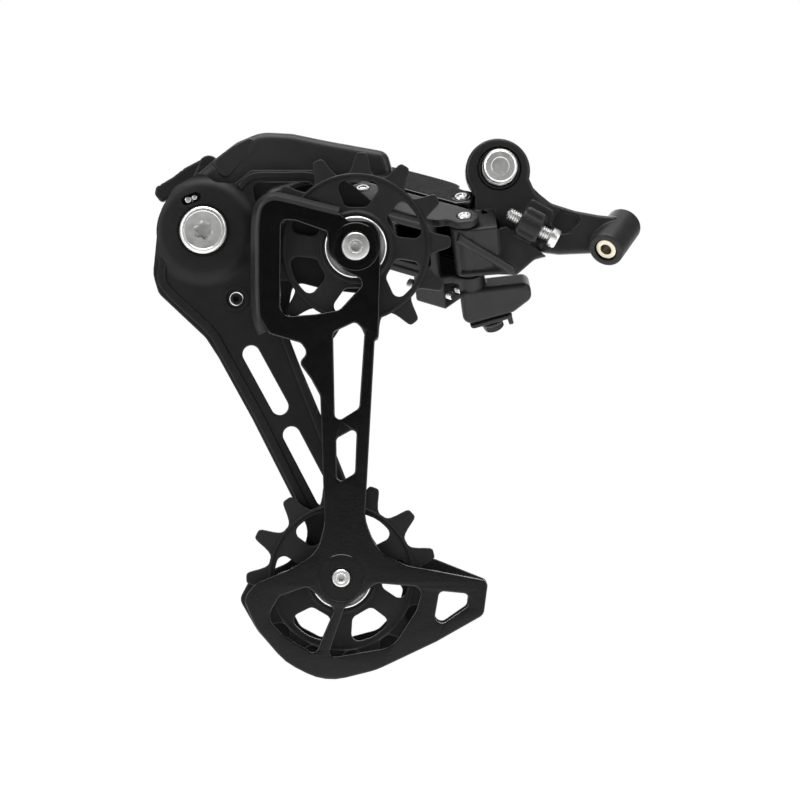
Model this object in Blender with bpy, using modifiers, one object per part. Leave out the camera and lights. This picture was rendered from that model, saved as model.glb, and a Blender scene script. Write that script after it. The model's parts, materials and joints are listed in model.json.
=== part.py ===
"""Rear bicycle derailleur with a long cage and a chain stabiliser.

Frame: +X to the rear of the bike, +Y outboard, +Z up. The origin is on the mounting
bolt's axis, in the plane where the upper knuckle meets the frame's hanger.
Helpers take millimetres; the meshes are in metres.
"""
import math

import bmesh
import bpy
from mathutils import Matrix, Vector

MM = 0.001
GAP = 0.3
WELD = 0.00001

# Main axes, as (x, z): all four run along Y.
P_AXLE = (-85.2, -18.5)
GUIDE = (-41.4, -23.6)
TENSION = (-45.5, -117.8)
SWITCH_PIVOT = (-84.8, 1.4)
STOP_PIN = (-75.9, -38.1)

# Cage: two plates with the pulleys between them, as (inboard face, outboard face) in Y.
INNER_PLATE = (-18.0, -16.4)
OUTER_PLATE = (-7.6, -5.6)
PULLEY_MID = -12.0
PULLEY_TEETH = 13
TIP_RADIUS = 27.2
ROOT_RADIUS = 21.4
TOOTH_THICKNESS = 2.2
HUB_HALF = 2.8
SEAL_THICKNESS = 0.8
PULLEY_BOLT_RADIUS = 2.5

# Parallelogram: pins run along PIN_AXIS, the links swing in the plane across it.
PIN_AXIS = Vector((-0.10, -0.50, 0.86)).normalized()
REARWARD = Vector((0.86, 0.0, 0.10)).normalized()
OUTWARD = PIN_AXIS.cross(REARWARD)
OUTER_B_PIN = Vector((-10.0, 8.0, -17.0))
LINK_LENGTH = 38.0
LINK_SPACING = 12.5
REST_ANGLE = math.radians(42.0)
LINK_DIR = -math.cos(REST_ANGLE) * REARWARD + math.sin(REST_ANGLE) * OUTWARD
INNER_B_PIN = OUTER_B_PIN - LINK_SPACING * OUTWARD
OUTER_P_PIN = OUTER_B_PIN + LINK_LENGTH * LINK_DIR
INNER_P_PIN = INNER_B_PIN + LINK_LENGTH * LINK_DIR
PIN_RADIUS = 2.0
PIN_HALF = 10.8
BARREL_RADIUS = 4.2
BARREL_HALF = 7.7
FLANGE = (8.0, 10.5)
SLOT = (7.75, 11.2)
SLOT_RADIUS = 4.8

# Cable clamp and limit screws on the inner link.
LUG_SIDE = (-4.5, 3.5)
CLAMP_CENTRE = (4.5, -22.0)
CLAMP_SLOPE = math.radians(10.3)
CLAMP_BOLT_RADIUS = 1.9
LIMIT_SHAFT = (4.6, 19.0)
LIMIT_SIDES = {"high": -0.9, "low": 3.4}


def polar(centre, radius, degrees):
    angle = math.radians(degrees)
    return (centre[0] + radius * math.cos(angle), centre[1] + radius * math.sin(angle))


# Lower knuckle housing.
HOUSING_RADIUS = 14.0
HOUSING = (-4.0, 20.0)
SPRING_CAVITY_RADIUS = 11.6
CLUTCH_CAVITY_RADIUS = 12.0
COVER_SCREWS = [polar(P_AXLE, 13.4, angle) for angle in (25.0, 195.0, 290.0)]
COVER_SCREW_RADIUS = 0.9
EAR_RADIUS = 2.6
SPRING_RADIUS = 9.7
SPRING_LEG_ANGLE = 112.0
SPRING_LEG = polar(P_AXLE, SPRING_RADIUS, SPRING_LEG_ANGLE)
DOME_FOOT = 13.3
DOME_TOP = 11.8
DOME_HEIGHT = 1.8

# Upper knuckle.
RING_CENTRE = (-0.4, -0.7)
RING_RADIUS = 9.4
RING_WIDTH = 10.0
BARREL_NEAR = Vector((30.5, -3.0, -24.0))
BARREL_FAR = Vector((36.9, 9.0, -15.6))
CABLE_BARREL_RADIUS = 5.25
B_SCREW_TIP = Vector((2.2, -3.2, -13.1))
B_SCREW_HEAD = Vector((14.6, -3.2, -19.8))

SIDE = Matrix(((1, 0, 0, 0), (0, 0, -1, 0), (0, 1, 0, 0), (0, 0, 0, 1)))


def clear_scene():
    for item in list(bpy.data.objects):
        bpy.data.objects.remove(item, do_unlink=True)


def collection(name):
    group = bpy.data.collections.new(name)
    bpy.context.scene.collection.children.link(group)
    return group


clear_scene()
PARTS = collection("rear_derailleur")
CUTTERS = collection("cutters")


def material(name, colour, metallic, roughness):
    mat = bpy.data.materials.new(name)
    mat.use_nodes = True
    shader = mat.node_tree.nodes["Principled BSDF"]
    shader.inputs["Base Color"].default_value = (*colour, 1.0)
    shader.inputs["Metallic"].default_value = metallic
    shader.inputs["Roughness"].default_value = roughness
    return mat


FINISHES = {
    "charcoal": ((0.035, 0.035, 0.037), 0.2, 0.42),
    "gloss_black": ((0.012, 0.012, 0.013), 0.1, 0.22),
    "satin_black": ((0.022, 0.022, 0.023), 0.1, 0.45),
    "dark_plastic": ((0.03, 0.03, 0.032), 0.0, 0.6),
    "silver": ((0.62, 0.62, 0.61), 1.0, 0.3),
    "spring_steel": ((0.45, 0.44, 0.42), 1.0, 0.35),
    "brass": ((0.62, 0.5, 0.3), 1.0, 0.35),
    "black_rubber": ((0.02, 0.02, 0.02), 0.0, 0.8),
}


# ---------------------------------------------------------------- shapes

def frame_of(origin, x_axis, z_axis):
    """A matrix with its origin in metres and the given x and z directions."""
    z_dir = Vector(z_axis).normalized()
    x_dir = Vector(x_axis).normalized()
    y_dir = z_dir.cross(x_dir)
    turn = Matrix((x_dir, y_dir, z_dir)).transposed().to_4x4()
    return Matrix.Translation(Vector(origin) * MM) @ turn


def rounded(corners):
    """Points of an outline from corners (x, y) or (x, y, radius)."""
    points = []
    for index, corner in enumerate(corners):
        here = Vector(corner[:2])
        if len(corner) == 2:
            points.append(here)
            continue
        before = Vector(corners[index - 1][:2]) - here
        after = Vector(corners[(index + 1) % len(corners)][:2]) - here
        shortest = min(before.length, after.length)
        before.normalize()
        after.normalize()
        half = before.angle(after) / 2
        reach = min(corner[2] / math.tan(half), 0.48 * shortest)
        centre = here + (before + after).normalized() * reach / math.cos(half)
        start = here + before * reach - centre
        end = here + after * reach - centre
        sweep = start.angle_signed(end)
        steps = max(2, math.ceil(abs(sweep) / math.radians(30)))
        for step in range(steps + 1):
            turned = start.copy()
            turned.rotate(Matrix.Rotation(-sweep * step / steps, 2))
            points.append(centre + turned)
    return points


def arc(centre, radius, start, end, steps):
    """Points of an arc between two angles in degrees."""
    points = []
    for step in range(steps + 1):
        angle = math.radians(start + (end - start) * step / steps)
        points.append(Vector((centre[0] + radius * math.cos(angle), centre[1] + radius * math.sin(angle))))
    return points


def to_mesh_object(name, source):
    """Replace a curve object by a welded mesh object in the same place."""
    graph = bpy.context.evaluated_depsgraph_get()
    mesh = bpy.data.meshes.new_from_object(source.evaluated_get(graph))
    place = source.matrix_world.copy()
    bpy.data.objects.remove(source, do_unlink=True)
    weld = bmesh.new()
    weld.from_mesh(mesh)
    bmesh.ops.remove_doubles(weld, verts=weld.verts, dist=WELD)
    weld.to_mesh(mesh)
    weld.free()
    result = bpy.data.objects.new(name, mesh)
    PARTS.objects.link(result)
    result.matrix_world = place
    return result


def prism(name, outline, low, high, frame=SIDE, holes=()):
    """A flat outline, with holes, given thickness from low to high along the frame's z."""
    data = bpy.data.curves.new(name, "CURVE")
    data.dimensions = "2D"
    data.fill_mode = "BOTH"
    data.extrude = (high - low) / 2 * MM
    for loop in (outline, *holes):
        spline = data.splines.new("POLY")
        spline.points.add(len(loop) - 1)
        for point, place in zip(spline.points, loop):
            point.co = (place[0] * MM, place[1] * MM, 0, 1)
        spline.use_cyclic_u = True
    flat = bpy.data.objects.new(name, data)
    PARTS.objects.link(flat)
    flat.matrix_world = frame @ Matrix.Translation((0, 0, (low + high) / 2 * MM))
    bpy.context.view_layer.update()
    return to_mesh_object(name, flat)


def side_prism(name, outline, y_from, y_to, holes=()):
    """An outline in X and Z with thickness along Y."""
    return prism(name, outline, -y_to, -y_from, SIDE, holes)


def rod(name, radius, start, end, end_radius=None, sides=28):
    """A cylinder or cone between two points."""
    start = Vector(start)
    end = Vector(end)
    body = bmesh.new()
    bmesh.ops.create_cone(
        body,
        cap_ends=True,
        segments=sides,
        radius1=radius * MM,
        radius2=(radius if end_radius is None else end_radius) * MM,
        depth=(end - start).length * MM,
    )
    mesh = bpy.data.meshes.new(name)
    body.to_mesh(mesh)
    body.free()
    result = bpy.data.objects.new(name, mesh)
    PARTS.objects.link(result)
    turn = (end - start).to_track_quat("Z", "Y").to_matrix().to_4x4()
    result.matrix_world = Matrix.Translation((start + end) / 2 * MM) @ turn
    return result


def side_rod(name, radius, centre, y_from, y_to, end_radius=None, sides=28):
    """A cylinder along Y at a centre given in X and Z."""
    start = (centre[0], y_from, centre[1])
    end = (centre[0], y_to, centre[1])
    return rod(name, radius, start, end, end_radius, sides)


def box(name, low, high, frame=None):
    """A box between two corners of a frame."""
    low = Vector(low)
    high = Vector(high)
    body = bmesh.new()
    bmesh.ops.create_cube(body, size=1.0)
    bmesh.ops.scale(body, vec=(high - low) * MM, verts=body.verts)
    bmesh.ops.translate(body, vec=(high + low) / 2 * MM, verts=body.verts)
    mesh = bpy.data.meshes.new(name)
    body.to_mesh(mesh)
    body.free()
    result = bpy.data.objects.new(name, mesh)
    PARTS.objects.link(result)
    result.matrix_world = frame or Matrix.Identity(4)
    return result


def turned(name, profile, centre, y_mid, sides=28):
    """A ring about an axis along Y, from a closed profile of (radius, inboard offset)."""
    body = bmesh.new()
    corners = [body.verts.new((radius * MM, 0, height * MM)) for radius, height in profile]
    for index, corner in enumerate(corners):
        body.edges.new((corner, corners[(index + 1) % len(corners)]))
    mesh = bpy.data.meshes.new(name)
    body.to_mesh(mesh)
    body.free()
    result = bpy.data.objects.new(name, mesh)
    PARTS.objects.link(result)
    result.matrix_world = Matrix.Translation((centre[0] * MM, y_mid * MM, centre[1] * MM)) @ SIDE
    screw = result.modifiers.new("turn", "SCREW")
    screw.steps = sides
    screw.render_steps = sides
    screw.use_merge_vertices = True
    screw.merge_threshold = WELD
    return result


def ring(name, inner, outer, centre, y_from, y_to, sides=28):
    """A plain ring along Y; its profile runs down the outer side and up the inner one."""
    half = (y_to - y_from) / 2
    profile = [(outer, half), (outer, -half), (inner, -half), (inner, half)]
    return turned(name, profile, centre, (y_from + y_to) / 2, sides)


def coil(name, wire, points):
    """A wire bent through a list of points."""
    data = bpy.data.curves.new(name, "CURVE")
    data.dimensions = "3D"
    data.bevel_depth = wire * MM
    data.bevel_resolution = 2
    data.use_fill_caps = True
    spline = data.splines.new("POLY")
    spline.points.add(len(points) - 1)
    for point, place in zip(spline.points, points):
        point.co = (*(Vector(place) * MM), 1)
    wire_object = bpy.data.objects.new(name, data)
    PARTS.objects.link(wire_object)
    bpy.context.view_layer.update()
    return to_mesh_object(name, wire_object)


# ---------------------------------------------------------------- joining and finishing

def combine(target, operation, tools):
    for tool in tools:
        tool.hide_render = True
        tool.display_type = "WIRE"
        PARTS.objects.unlink(tool)
        CUTTERS.objects.link(tool)
        modifier = target.modifiers.new(tool.name, "BOOLEAN")
        modifier.operation = operation
        modifier.solver = "EXACT"
        modifier.object = tool
    return target


def join(target, *tools):
    return combine(target, "UNION", tools)


def cut(target, *tools):
    return combine(target, "DIFFERENCE", tools)


def keep_common(target, *tools):
    return combine(target, "INTERSECT", tools)


MATERIALS = {name: material(name, *values) for name, values in FINISHES.items()}
BODY_EMPTIES = {}


def body_empty(name, place):
    """An empty on a body's joint axis, which the body's pieces are parented to."""
    empty = bpy.data.objects.new(f"{name}_axis", None)
    PARTS.objects.link(empty)
    empty.location = Vector(place) * MM
    bpy.context.view_layer.update()
    BODY_EMPTIES[name] = empty


def finish(piece, body, finish_name):
    """Give a piece its material and hang it on its body's empty."""
    piece.data.materials.clear()
    piece.data.materials.append(MATERIALS[finish_name])
    bpy.context.view_layer.update()
    empty = BODY_EMPTIES[body]
    place = piece.matrix_world.copy()
    piece.parent = empty
    piece.matrix_parent_inverse = empty.matrix_world.inverted()
    piece.matrix_world = place
    return piece


def on_axis(axis, y):
    return (axis[0], y, axis[1])


# ---------------------------------------------------------------- upper knuckle group

UVW = frame_of(OUTER_B_PIN, REARWARD, PIN_AXIS)


def linkage_frame(origin, x_dir):
    return frame_of(origin, x_dir, PIN_AXIS)


def flange_slots(prefix, pins):
    """Cutters that clear the ends of the links around the pins."""
    tools = []
    for index, pin in enumerate(pins):
        for side in (-1, 1):
            start = pin + PIN_AXIS * SLOT[0] * side
            end = pin + PIN_AXIS * SLOT[1] * side
            tools.append(rod(f"{prefix}_slot_{index}_{side + 1}", SLOT_RADIUS, start, end))
    return tools


def pin_holes(prefix, pins, half=SLOT[1] + 0.2):
    tools = []
    for index, pin in enumerate(pins):
        start = pin - PIN_AXIS * half
        end = pin + PIN_AXIS * half
        tools.append(rod(f"{prefix}_hole_{index}", PIN_RADIUS + GAP, start, end, sides=20))
    return tools


def pin_barrels(prefix, pins):
    tools = []
    for index, pin in enumerate(pins):
        start = pin - PIN_AXIS * BARREL_HALF
        end = pin + PIN_AXIS * BARREL_HALF
        tools.append(rod(f"{prefix}_barrel_{index}", BARREL_RADIUS, start, end))
    return tools


def make_mounting_bolt():
    head_y = RING_WIDTH + GAP
    bolt = side_rod("mounting_bolt", 5.0, (0, 0), -9.0, head_y + 1.0)
    head = side_rod("mounting_head", 8.2, (0, 0), head_y, head_y + 3.7, 7.6)
    socket = side_rod("mounting_socket", 2.9, (0, 0), head_y + 1.4, head_y + 5.0, sides=6)
    chamfer = ring("mounting_chamfer", 4.5, 6.5, (0, 0), -9.6, -8.6)
    finish(cut(join(bolt, head), socket, chamfer), "mounting_bolt", "silver")
    bush = ring("mounting_bush", 5.0 + GAP, 6.0, (0, 0), 0.0, RING_WIDTH)
    finish(bush, "mounting_bolt", "black_rubber")


def make_b_knuckle():
    knuckle = side_rod("b_knuckle", RING_RADIUS, RING_CENTRE, 0.0, RING_WIDTH, sides=40)
    neck = side_prism("b_neck", rounded([
        (-8.1, -5.1), (-7.2, -11.9), (-5.6, -16.5), (-5.0, -21.5, 1), (9.0, -23.5, 1), (14.5, -20.0, 2),
        (14.1, -9.1), (9.7, -4.5),
    ]), 0.0, RING_WIDTH)
    toe = side_prism("b_toe", rounded([
        (-5.0, -19.0), (-5.0, -21.5), (-1.0, -25.1), (4.9, -31.1, 1.0), (10.2, -26.5, 3), (13.5, -25.7),
        (9.5, -22.6, 1), (2.0, -17.0),
    ]), -4.0, 2.0)
    arm = side_prism("b_arm", rounded([
        (9.0, -4.6), (11.6, -6.9), (15.0, -9.8), (21.9, -11.9), (29.0, -13.2), (34.0, -14.0), (33.5, -22.5),
        (27.0, -24.7), (17.4, -24.9), (10.2, -24.0), (8.0, -15.0),
    ]), 0.5, 6.5)
    cable_barrel = rod("b_cable_barrel", CABLE_BARREL_RADIUS, BARREL_NEAR, BARREL_FAR)
    web = prism("b_pin_web", [
        (1.0, BARREL_HALF), (1.0, -BARREL_HALF), (5.0, -BARREL_HALF), (9.0, -1.0), (9.0, BARREL_HALF),
    ], -BARREL_RADIUS, LINK_SPACING + BARREL_RADIUS, frame_of(OUTER_B_PIN, REARWARD, -OUTWARD))
    skirt = side_prism("b_skirt", [
        (-5.5, -20.0), (-4.6, -29.6), (0.0, -30.9), (4.9, -31.0), (6.0, -24.0),
    ], -4.0, -1.0)
    rib_start = INNER_B_PIN - 2.5 * REARWARD - 4.4 * OUTWARD + 6.0 * PIN_AXIS
    rib = rod("b_rib", 1.3, rib_start, (4.0, -3.4, -29.8), sides=14)
    slope = (B_SCREW_HEAD - B_SCREW_TIP).normalized()
    screw_frame = frame_of(B_SCREW_TIP, slope, (0, -1, 0))
    boss = prism("b_screw_boss", rounded([
        (4.0, -4.6, 1.5), (11.0, -4.6, 1.5), (11.0, 4.6, 1.5), (4.0, 4.6, 1.5),
    ]), -4.4, 3.1, screw_frame)
    pins = (OUTER_B_PIN, INNER_B_PIN)
    join(knuckle, neck, toe, arm, cable_barrel, web, boss, *pin_barrels("b", pins), skirt, rib)
    bore = side_rod("b_bore", 6.0 + GAP, (0, 0), -8.0, 20.0)
    recess = side_rod("b_head_recess", 8.2 + 2 * GAP, (0, 0), RING_WIDTH, 22.0)
    along = (BARREL_FAR - BARREL_NEAR).normalized()
    cable_bore = rod("b_cable_bore", 3.4, BARREL_NEAR - along, BARREL_FAR + along, sides=20)
    socket = rod("b_cable_socket", 3.8, BARREL_NEAR + along * 7.0, BARREL_FAR + along, sides=20)
    screw_bore = rod("b_screw_bore", 1.9 + GAP, B_SCREW_TIP - slope * 3, B_SCREW_HEAD + slope * 3, sides=16)
    cut(knuckle, bore, recess, cable_bore, socket, screw_bore, *flange_slots("b", pins),
        *pin_holes("b", pins))
    finish(knuckle, "b_knuckle", "charcoal")

    ferrule = rod("cable_ferrule", 3.1, BARREL_NEAR + along * 0.4, BARREL_NEAR + along * 6.4, sides=20)
    hole = rod("ferrule_hole", 1.4, BARREL_NEAR - along, BARREL_NEAR + along * 8, sides=12)
    finish(cut(ferrule, hole), "b_knuckle", "brass")

    screw = rod("b_tension_screw", 1.9, B_SCREW_TIP, B_SCREW_HEAD + slope * 0.4, sides=16)
    head = rod("b_screw_head", 2.8, B_SCREW_HEAD, B_SCREW_HEAD + slope * 2.4, sides=20)
    socket = rod("b_screw_socket", 1.6, B_SCREW_HEAD + slope, B_SCREW_HEAD + slope * 4, sides=6)
    finish(cut(join(screw, head), socket), "b_screw", "silver")


def make_pins():
    places = {
        "outer_link_b_pin": (OUTER_B_PIN, "b_knuckle"),
        "inner_link_b_pin": (INNER_B_PIN, "b_knuckle"),
        "outer_link_p_pin": (OUTER_P_PIN, "p_knuckle"),
        "inner_link_p_pin": (INNER_P_PIN, "p_knuckle"),
    }
    for name, (pin, body) in places.items():
        shaft = rod(name, PIN_RADIUS, pin - PIN_AXIS * PIN_HALF, pin + PIN_AXIS * PIN_HALF, sides=20)
        finish(shaft, body, "silver")


# ---------------------------------------------------------------- links

def link_outline(side):
    """A link's flange: two round ends, and a wider edge on the side that carries the web."""
    wide = -6.6 * side
    outline = arc((LINK_LENGTH, 0), BARREL_RADIUS, -90 * side, 90 * side, 8)
    outline += arc((0, 0), BARREL_RADIUS, 90 * side, 270 * side, 8)
    waist = -4.4 * side
    outline += [Vector((3.5, waist)), Vector((7.0, wide)), Vector((31.0, wide))]
    outline.append(Vector((LINK_LENGTH - 3.5, waist)))
    return outline


def make_outer_link():
    frame = linkage_frame(OUTER_B_PIN, LINK_DIR)
    link = prism("outer_link", link_outline(1), FLANGE[0], FLANGE[1], frame)
    lower = prism("outer_link_lower", link_outline(1), -FLANGE[1], -FLANGE[0], frame)
    web = box("outer_link_web", (7.6, -6.4, -FLANGE[1] + 0.3), (30.4, -5.0, FLANGE[1] - 0.3), frame)
    join(link, web, lower)
    cut(link, *pin_holes("outer_link", (OUTER_B_PIN, OUTER_P_PIN)))
    finish(link, "outer_link", "charcoal")


def make_inner_link():
    frame = linkage_frame(INNER_B_PIN, LINK_DIR)
    link = prism("inner_link", link_outline(-1), FLANGE[0], FLANGE[1], frame)
    lower = prism("inner_link_lower", link_outline(-1), -FLANGE[1], -FLANGE[0], frame)
    web = box("inner_link_web", (7.6, 5.0, -FLANGE[1] + 0.3), (30.4, 6.4, FLANGE[1] - 0.3), frame)
    window = box("inner_link_window", (9.0, 4.0, -6.0), (28.0, 8.0, 6.0), frame)
    neck = rod("lug_neck", BARREL_RADIUS, INNER_B_PIN - PIN_AXIS * FLANGE[0], INNER_B_PIN - PIN_AXIS * 12.5)
    lug_frame = frame_of(INNER_B_PIN, REARWARD, -OUTWARD)
    lug = prism("lug", rounded([
        (-3.5, -11.8), (17.0, -11.8, 1.5), (17.0, -17.0, 2.0), (11.4, -20.8, 1.0), (-3.5, -23.4, 2.0),
    ]), -LUG_SIDE[1], -LUG_SIDE[0], lug_frame)
    limit_block = box("limit_block", (6.0, -3.5, -19.5), (17.0, 5.5, -10.0), frame)
    join(link, web, lower, neck, lug, limit_block)
    clamp_hole = clamp_rod("clamp_hole", CLAMP_BOLT_RADIUS + GAP, -7.0, 3.0, 16)
    screw_holes = [
        rod(f"limit_hole_{name}", 1.5, start, end, sides=14)
        for name, (start, end) in limit_screw_lines(2.0, 24.0).items()
    ]
    cut(link, window, clamp_hole, *screw_holes, *pin_holes("inner_link", (INNER_B_PIN, INNER_P_PIN)))
    finish(link, "inner_link", "charcoal")


def limit_screw_lines(start, end):
    """Both limit screws run along the inner link, below its lower flange."""
    lines = {}
    for name, offset in LIMIT_SIDES.items():
        side = PIN_AXIS.cross(LINK_DIR) * offset
        base = INNER_B_PIN - PIN_AXIS * 15.5 + side
        lines[name] = (base + LINK_DIR * start, base + LINK_DIR * end)
    return lines


def make_limit_screws():
    shafts = limit_screw_lines(*LIMIT_SHAFT)
    heads = limit_screw_lines(18.8, 20.8)
    sockets = limit_screw_lines(19.7, 22.0)
    for name in shafts:
        screw = rod(f"{name}_limit_screw", 1.2, *shafts[name], sides=14)
        head = rod(f"{name}_limit_head", 1.8, *heads[name], sides=16)
        socket = rod(f"{name}_limit_socket", 0.9, *sockets[name], sides=6)
        finish(cut(join(screw, head), socket), f"{name}_limit", "silver")


def clamp_frame():
    """A frame on the lug's lower face, z pointing down away from it."""
    along = math.cos(CLAMP_SLOPE) * REARWARD + math.sin(CLAMP_SLOPE) * PIN_AXIS
    down = math.sin(CLAMP_SLOPE) * REARWARD - math.cos(CLAMP_SLOPE) * PIN_AXIS
    middle = (LUG_SIDE[0] + LUG_SIDE[1]) / 2
    origin = INNER_B_PIN + REARWARD * CLAMP_CENTRE[0] + OUTWARD * middle + PIN_AXIS * CLAMP_CENTRE[1]
    return frame_of(origin, along, down)


def clamp_rod(name, radius, low, high, sides):
    """A cylinder on the clamp bolt's axis."""
    frame = clamp_frame()
    start = (frame @ Vector((0, 0, low * MM))) / MM
    end = (frame @ Vector((0, 0, high * MM))) / MM
    return rod(name, radius, start, end, sides=sides)


def make_cable_clamp():
    frame = clamp_frame()
    plate = prism("cable_clamp_plate", rounded([
        (-6.3, -3.8, 1.2), (6.3, -3.8, 1.2), (6.3, 3.8, 1.2), (-6.3, 3.8, 1.2),
    ]), GAP, 1.6, frame)
    tab = box("clamp_tab", (4.6, -2.0, 1.4), (6.0, 2.0, 5.2), frame)
    hole = clamp_rod("clamp_plate_hole", CLAMP_BOLT_RADIUS + GAP, -1.0, 3.0, 16)
    finish(cut(join(plate, tab), hole), "inner_link", "charcoal")
    bolt = clamp_rod("cable_clamp_bolt", CLAMP_BOLT_RADIUS, -6.0, 2.5, 16)
    washer = clamp_rod("clamp_washer", 3.6, 1.9, 2.9, 20)
    head = clamp_rod("clamp_head", 3.0, 2.7, 5.1, 6)
    finish(join(bolt, washer, head), "inner_link", "charcoal")


# ---------------------------------------------------------------- lower knuckle group

def make_p_knuckle():
    knuckle = side_rod("p_knuckle", HOUSING_RADIUS, P_AXLE, *HOUSING, sides=44)
    hump = side_prism("p_hump", rounded([
        (-94.2, -9.0), (-89.5, -3.6), (-81.9, 2.9), (-76.0, 7.4), (-69.0, 10.4, 8), (-60.0, 9.9),
        (-49.2, 7.7),
        (-32.5, 4.7, 3), (-30.3, -3.0, 2), (-45.0, -4.0), (-56.0, -4.0), (-66.0, -7.0), (-72.0, -14.0),
        (-80.0, -18.0),
    ]), -4.0, 10.0)
    bridge = side_prism("p_bridge", rounded([
        (-76.0, 7.0), (-66.0, 9.8, 3), (-50.0, 6.6, 3), (-46.0, 3.5, 2), (-46.0, -18.0, 3),
        (-54.0, -19.5, 3),
        (-64.0, -10.0, 4), (-78.0, -10.0),
    ]), 6.0, 38.0)
    plan_frame = frame_of((0, 0, 0), (1, 0, 0), (0, 0, 1))
    plan = prism("p_bridge_plan", rounded([
        (-79.0, 4.0), (-45.0, 4.0), (-45.0, 36.0, 4), (-55.0, 34.0, 4), (-71.0, 20.0, 4), (-79.0, 18.0),
    ]), -24.0, 14.0, plan_frame)
    keep_common(bridge, plan)
    outer = linkage_frame(OUTER_P_PIN, REARWARD)
    web = box("p_pin_web", (-9.0, -16.7, -BARREL_HALF), (-1.0, 4.2, BARREL_HALF), outer)
    pins = (OUTER_P_PIN, INNER_P_PIN)
    boss = side_rod("p_switch_boss", 3.1, SWITCH_PIVOT, 9.0, HOUSING[1])
    boss_web = side_prism("p_switch_web", rounded([
        (-93.0, -9.0), (-87.9, 1.8), (-81.0, 3.0), (-76.0, -8.0),
    ]), 9.0, HOUSING[1])
    lug = side_prism("p_stop_lug", [
        polar(P_AXLE, 12.5, -59.0), polar(P_AXLE, 24.3, -58.6),
        polar(P_AXLE, 24.3, -49.0), polar(P_AXLE, 12.5, -44.0),
    ], HOUSING[0], -0.5)
    ears = cover_ears("p", 14.0, HOUSING[1])
    join(knuckle, hump, bridge, web, boss_web, boss, lug, *pin_barrels("p", pins), *ears)
    spring_cavity = side_rod("p_spring_cavity", SPRING_CAVITY_RADIUS, P_AXLE, HOUSING[0] - 1, 9.0, sides=36)
    axle_bore = side_rod("p_axle_bore", 5.3 + GAP, P_AXLE, 8.0, 13.0)
    clutch_cavity = side_rod("p_clutch_cavity", CLUTCH_CAVITY_RADIUS, P_AXLE, 12.0, HOUSING[1] + 1,
        sides=36)
    cam_slot = box("p_cam_slot", (-87.7, 13.0, -9.0), (-81.9, 17.0, 3.6))
    switch_bore = side_rod("p_switch_bore", 1.2 + GAP, SWITCH_PIVOT, 11.5, HOUSING[1] + 1, sides=14)
    coil_from = INNER_P_PIN - PIN_AXIS * 7.0
    return_cavity = rod("p_return_cavity", BARREL_RADIUS + 1.2, coil_from, INNER_P_PIN + PIN_AXIS * 2.0)
    cover_holes = [
        rod(f"p_cover_hole_{index}", COVER_SCREW_RADIUS + GAP, on_axis(place, 16.0), on_axis(place,
            21.0), sides=12)
        for index, place in enumerate(COVER_SCREWS)
    ]
    cut(knuckle, spring_cavity, axle_bore, clutch_cavity, cam_slot, switch_bore, return_cavity,
        *cover_holes)
    cut(knuckle, *flange_slots("p", pins), *pin_holes("p", pins))
    finish(knuckle, "p_knuckle", "charcoal")


def cover_ears(prefix, y_from, y_to):
    """Three ears that carry the cover's screws."""
    return [
        side_rod(f"{prefix}_ear_{index}", EAR_RADIUS, place, y_from, y_to, sides=18)
        for index, place in enumerate(COVER_SCREWS)
    ]


def make_return_spring():
    turns = 5
    per_turn = 8
    side = REARWARD
    across = OUTWARD
    points = []
    for step in range(turns * per_turn + 1):
        angle = 2 * math.pi * step / per_turn
        rise = -6.2 + 7.2 * step / (turns * per_turn)
        spoke = side * math.cos(angle) + across * math.sin(angle)
        points.append(INNER_P_PIN + spoke * 3.7 + PIN_AXIS * rise)
    finish(coil("return_spring", 0.6, points), "p_knuckle", "spring_steel")


def make_clutch():
    finish(ring("one_way_clutch", 5.6, 8.4, P_AXLE, 13.0, 18.5), "p_knuckle", "spring_steel")
    ear_start, ear_end = 76.0, 104.0
    outline = arc(P_AXLE, 10.0, ear_end, ear_start + 360.0, 26)
    outline += [Vector(polar(P_AXLE, 11.6, ear_start + 8.0)), Vector(polar(P_AXLE, 11.6, ear_start + 13.0))]
    outline += [Vector(polar(P_AXLE, 8.7, ear_start + 13.0))]
    outline += arc(P_AXLE, 8.7, ear_start + 360.0, ear_end, 26)[1:]
    outline += [Vector(polar(P_AXLE, 8.7, ear_end - 8.0)), Vector(polar(P_AXLE, 11.6, ear_end - 8.0))]
    finish(side_prism("friction_band", outline, 13.5, 18.0), "p_knuckle", "spring_steel")
    gasket = ring("cover_gasket", 12.3, HOUSING_RADIUS, P_AXLE, HOUSING[1] + GAP, HOUSING[1] + 0.9)
    holes = [
        rod(f"gasket_hole_{index}", COVER_SCREW_RADIUS + GAP, on_axis(place, 19.0), on_axis(place,
            22.0), sides=12)
        for index, place in enumerate(COVER_SCREWS)
    ]
    join(gasket, *cover_ears("gasket", HOUSING[1] + GAP, HOUSING[1] + 0.9))
    finish(cut(gasket, *holes), "p_knuckle", "black_rubber")
    low = HOUSING[1] + 1.2
    cover = side_rod("clutch_cover", HOUSING_RADIUS, P_AXLE, low, low + 4.0, 12.6, sides=40)
    hollow = side_rod("cover_hollow", 11.4, P_AXLE, low - 1.0, low + 2.6, sides=32)
    holes = [
        rod(f"cover_hole_{index}", COVER_SCREW_RADIUS + GAP, on_axis(place, low - 1),
            on_axis(place, low + 6), sides=12)
        for index, place in enumerate(COVER_SCREWS)
    ]
    seats = [
        rod(f"cover_seat_{index}", 1.9, on_axis(place, low + 2.4), on_axis(place, low + 6), sides=14)
        for index, place in enumerate(COVER_SCREWS)
    ]
    join(cover, *cover_ears("cover", low, low + 3.0))
    finish(cut(cover, hollow, *holes, *seats), "p_knuckle", "gloss_black")
    for index, place in enumerate(COVER_SCREWS):
        screw = side_rod(f"cover_screw_{index + 1}", COVER_SCREW_RADIUS, place, 16.8, low + 3.0, sides=12)
        head = side_rod(f"cover_head_{index}", 1.5, place, low + 2.7, low + 4.1, sides=14)
        finish(join(screw, head), "p_knuckle", "silver")


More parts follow.
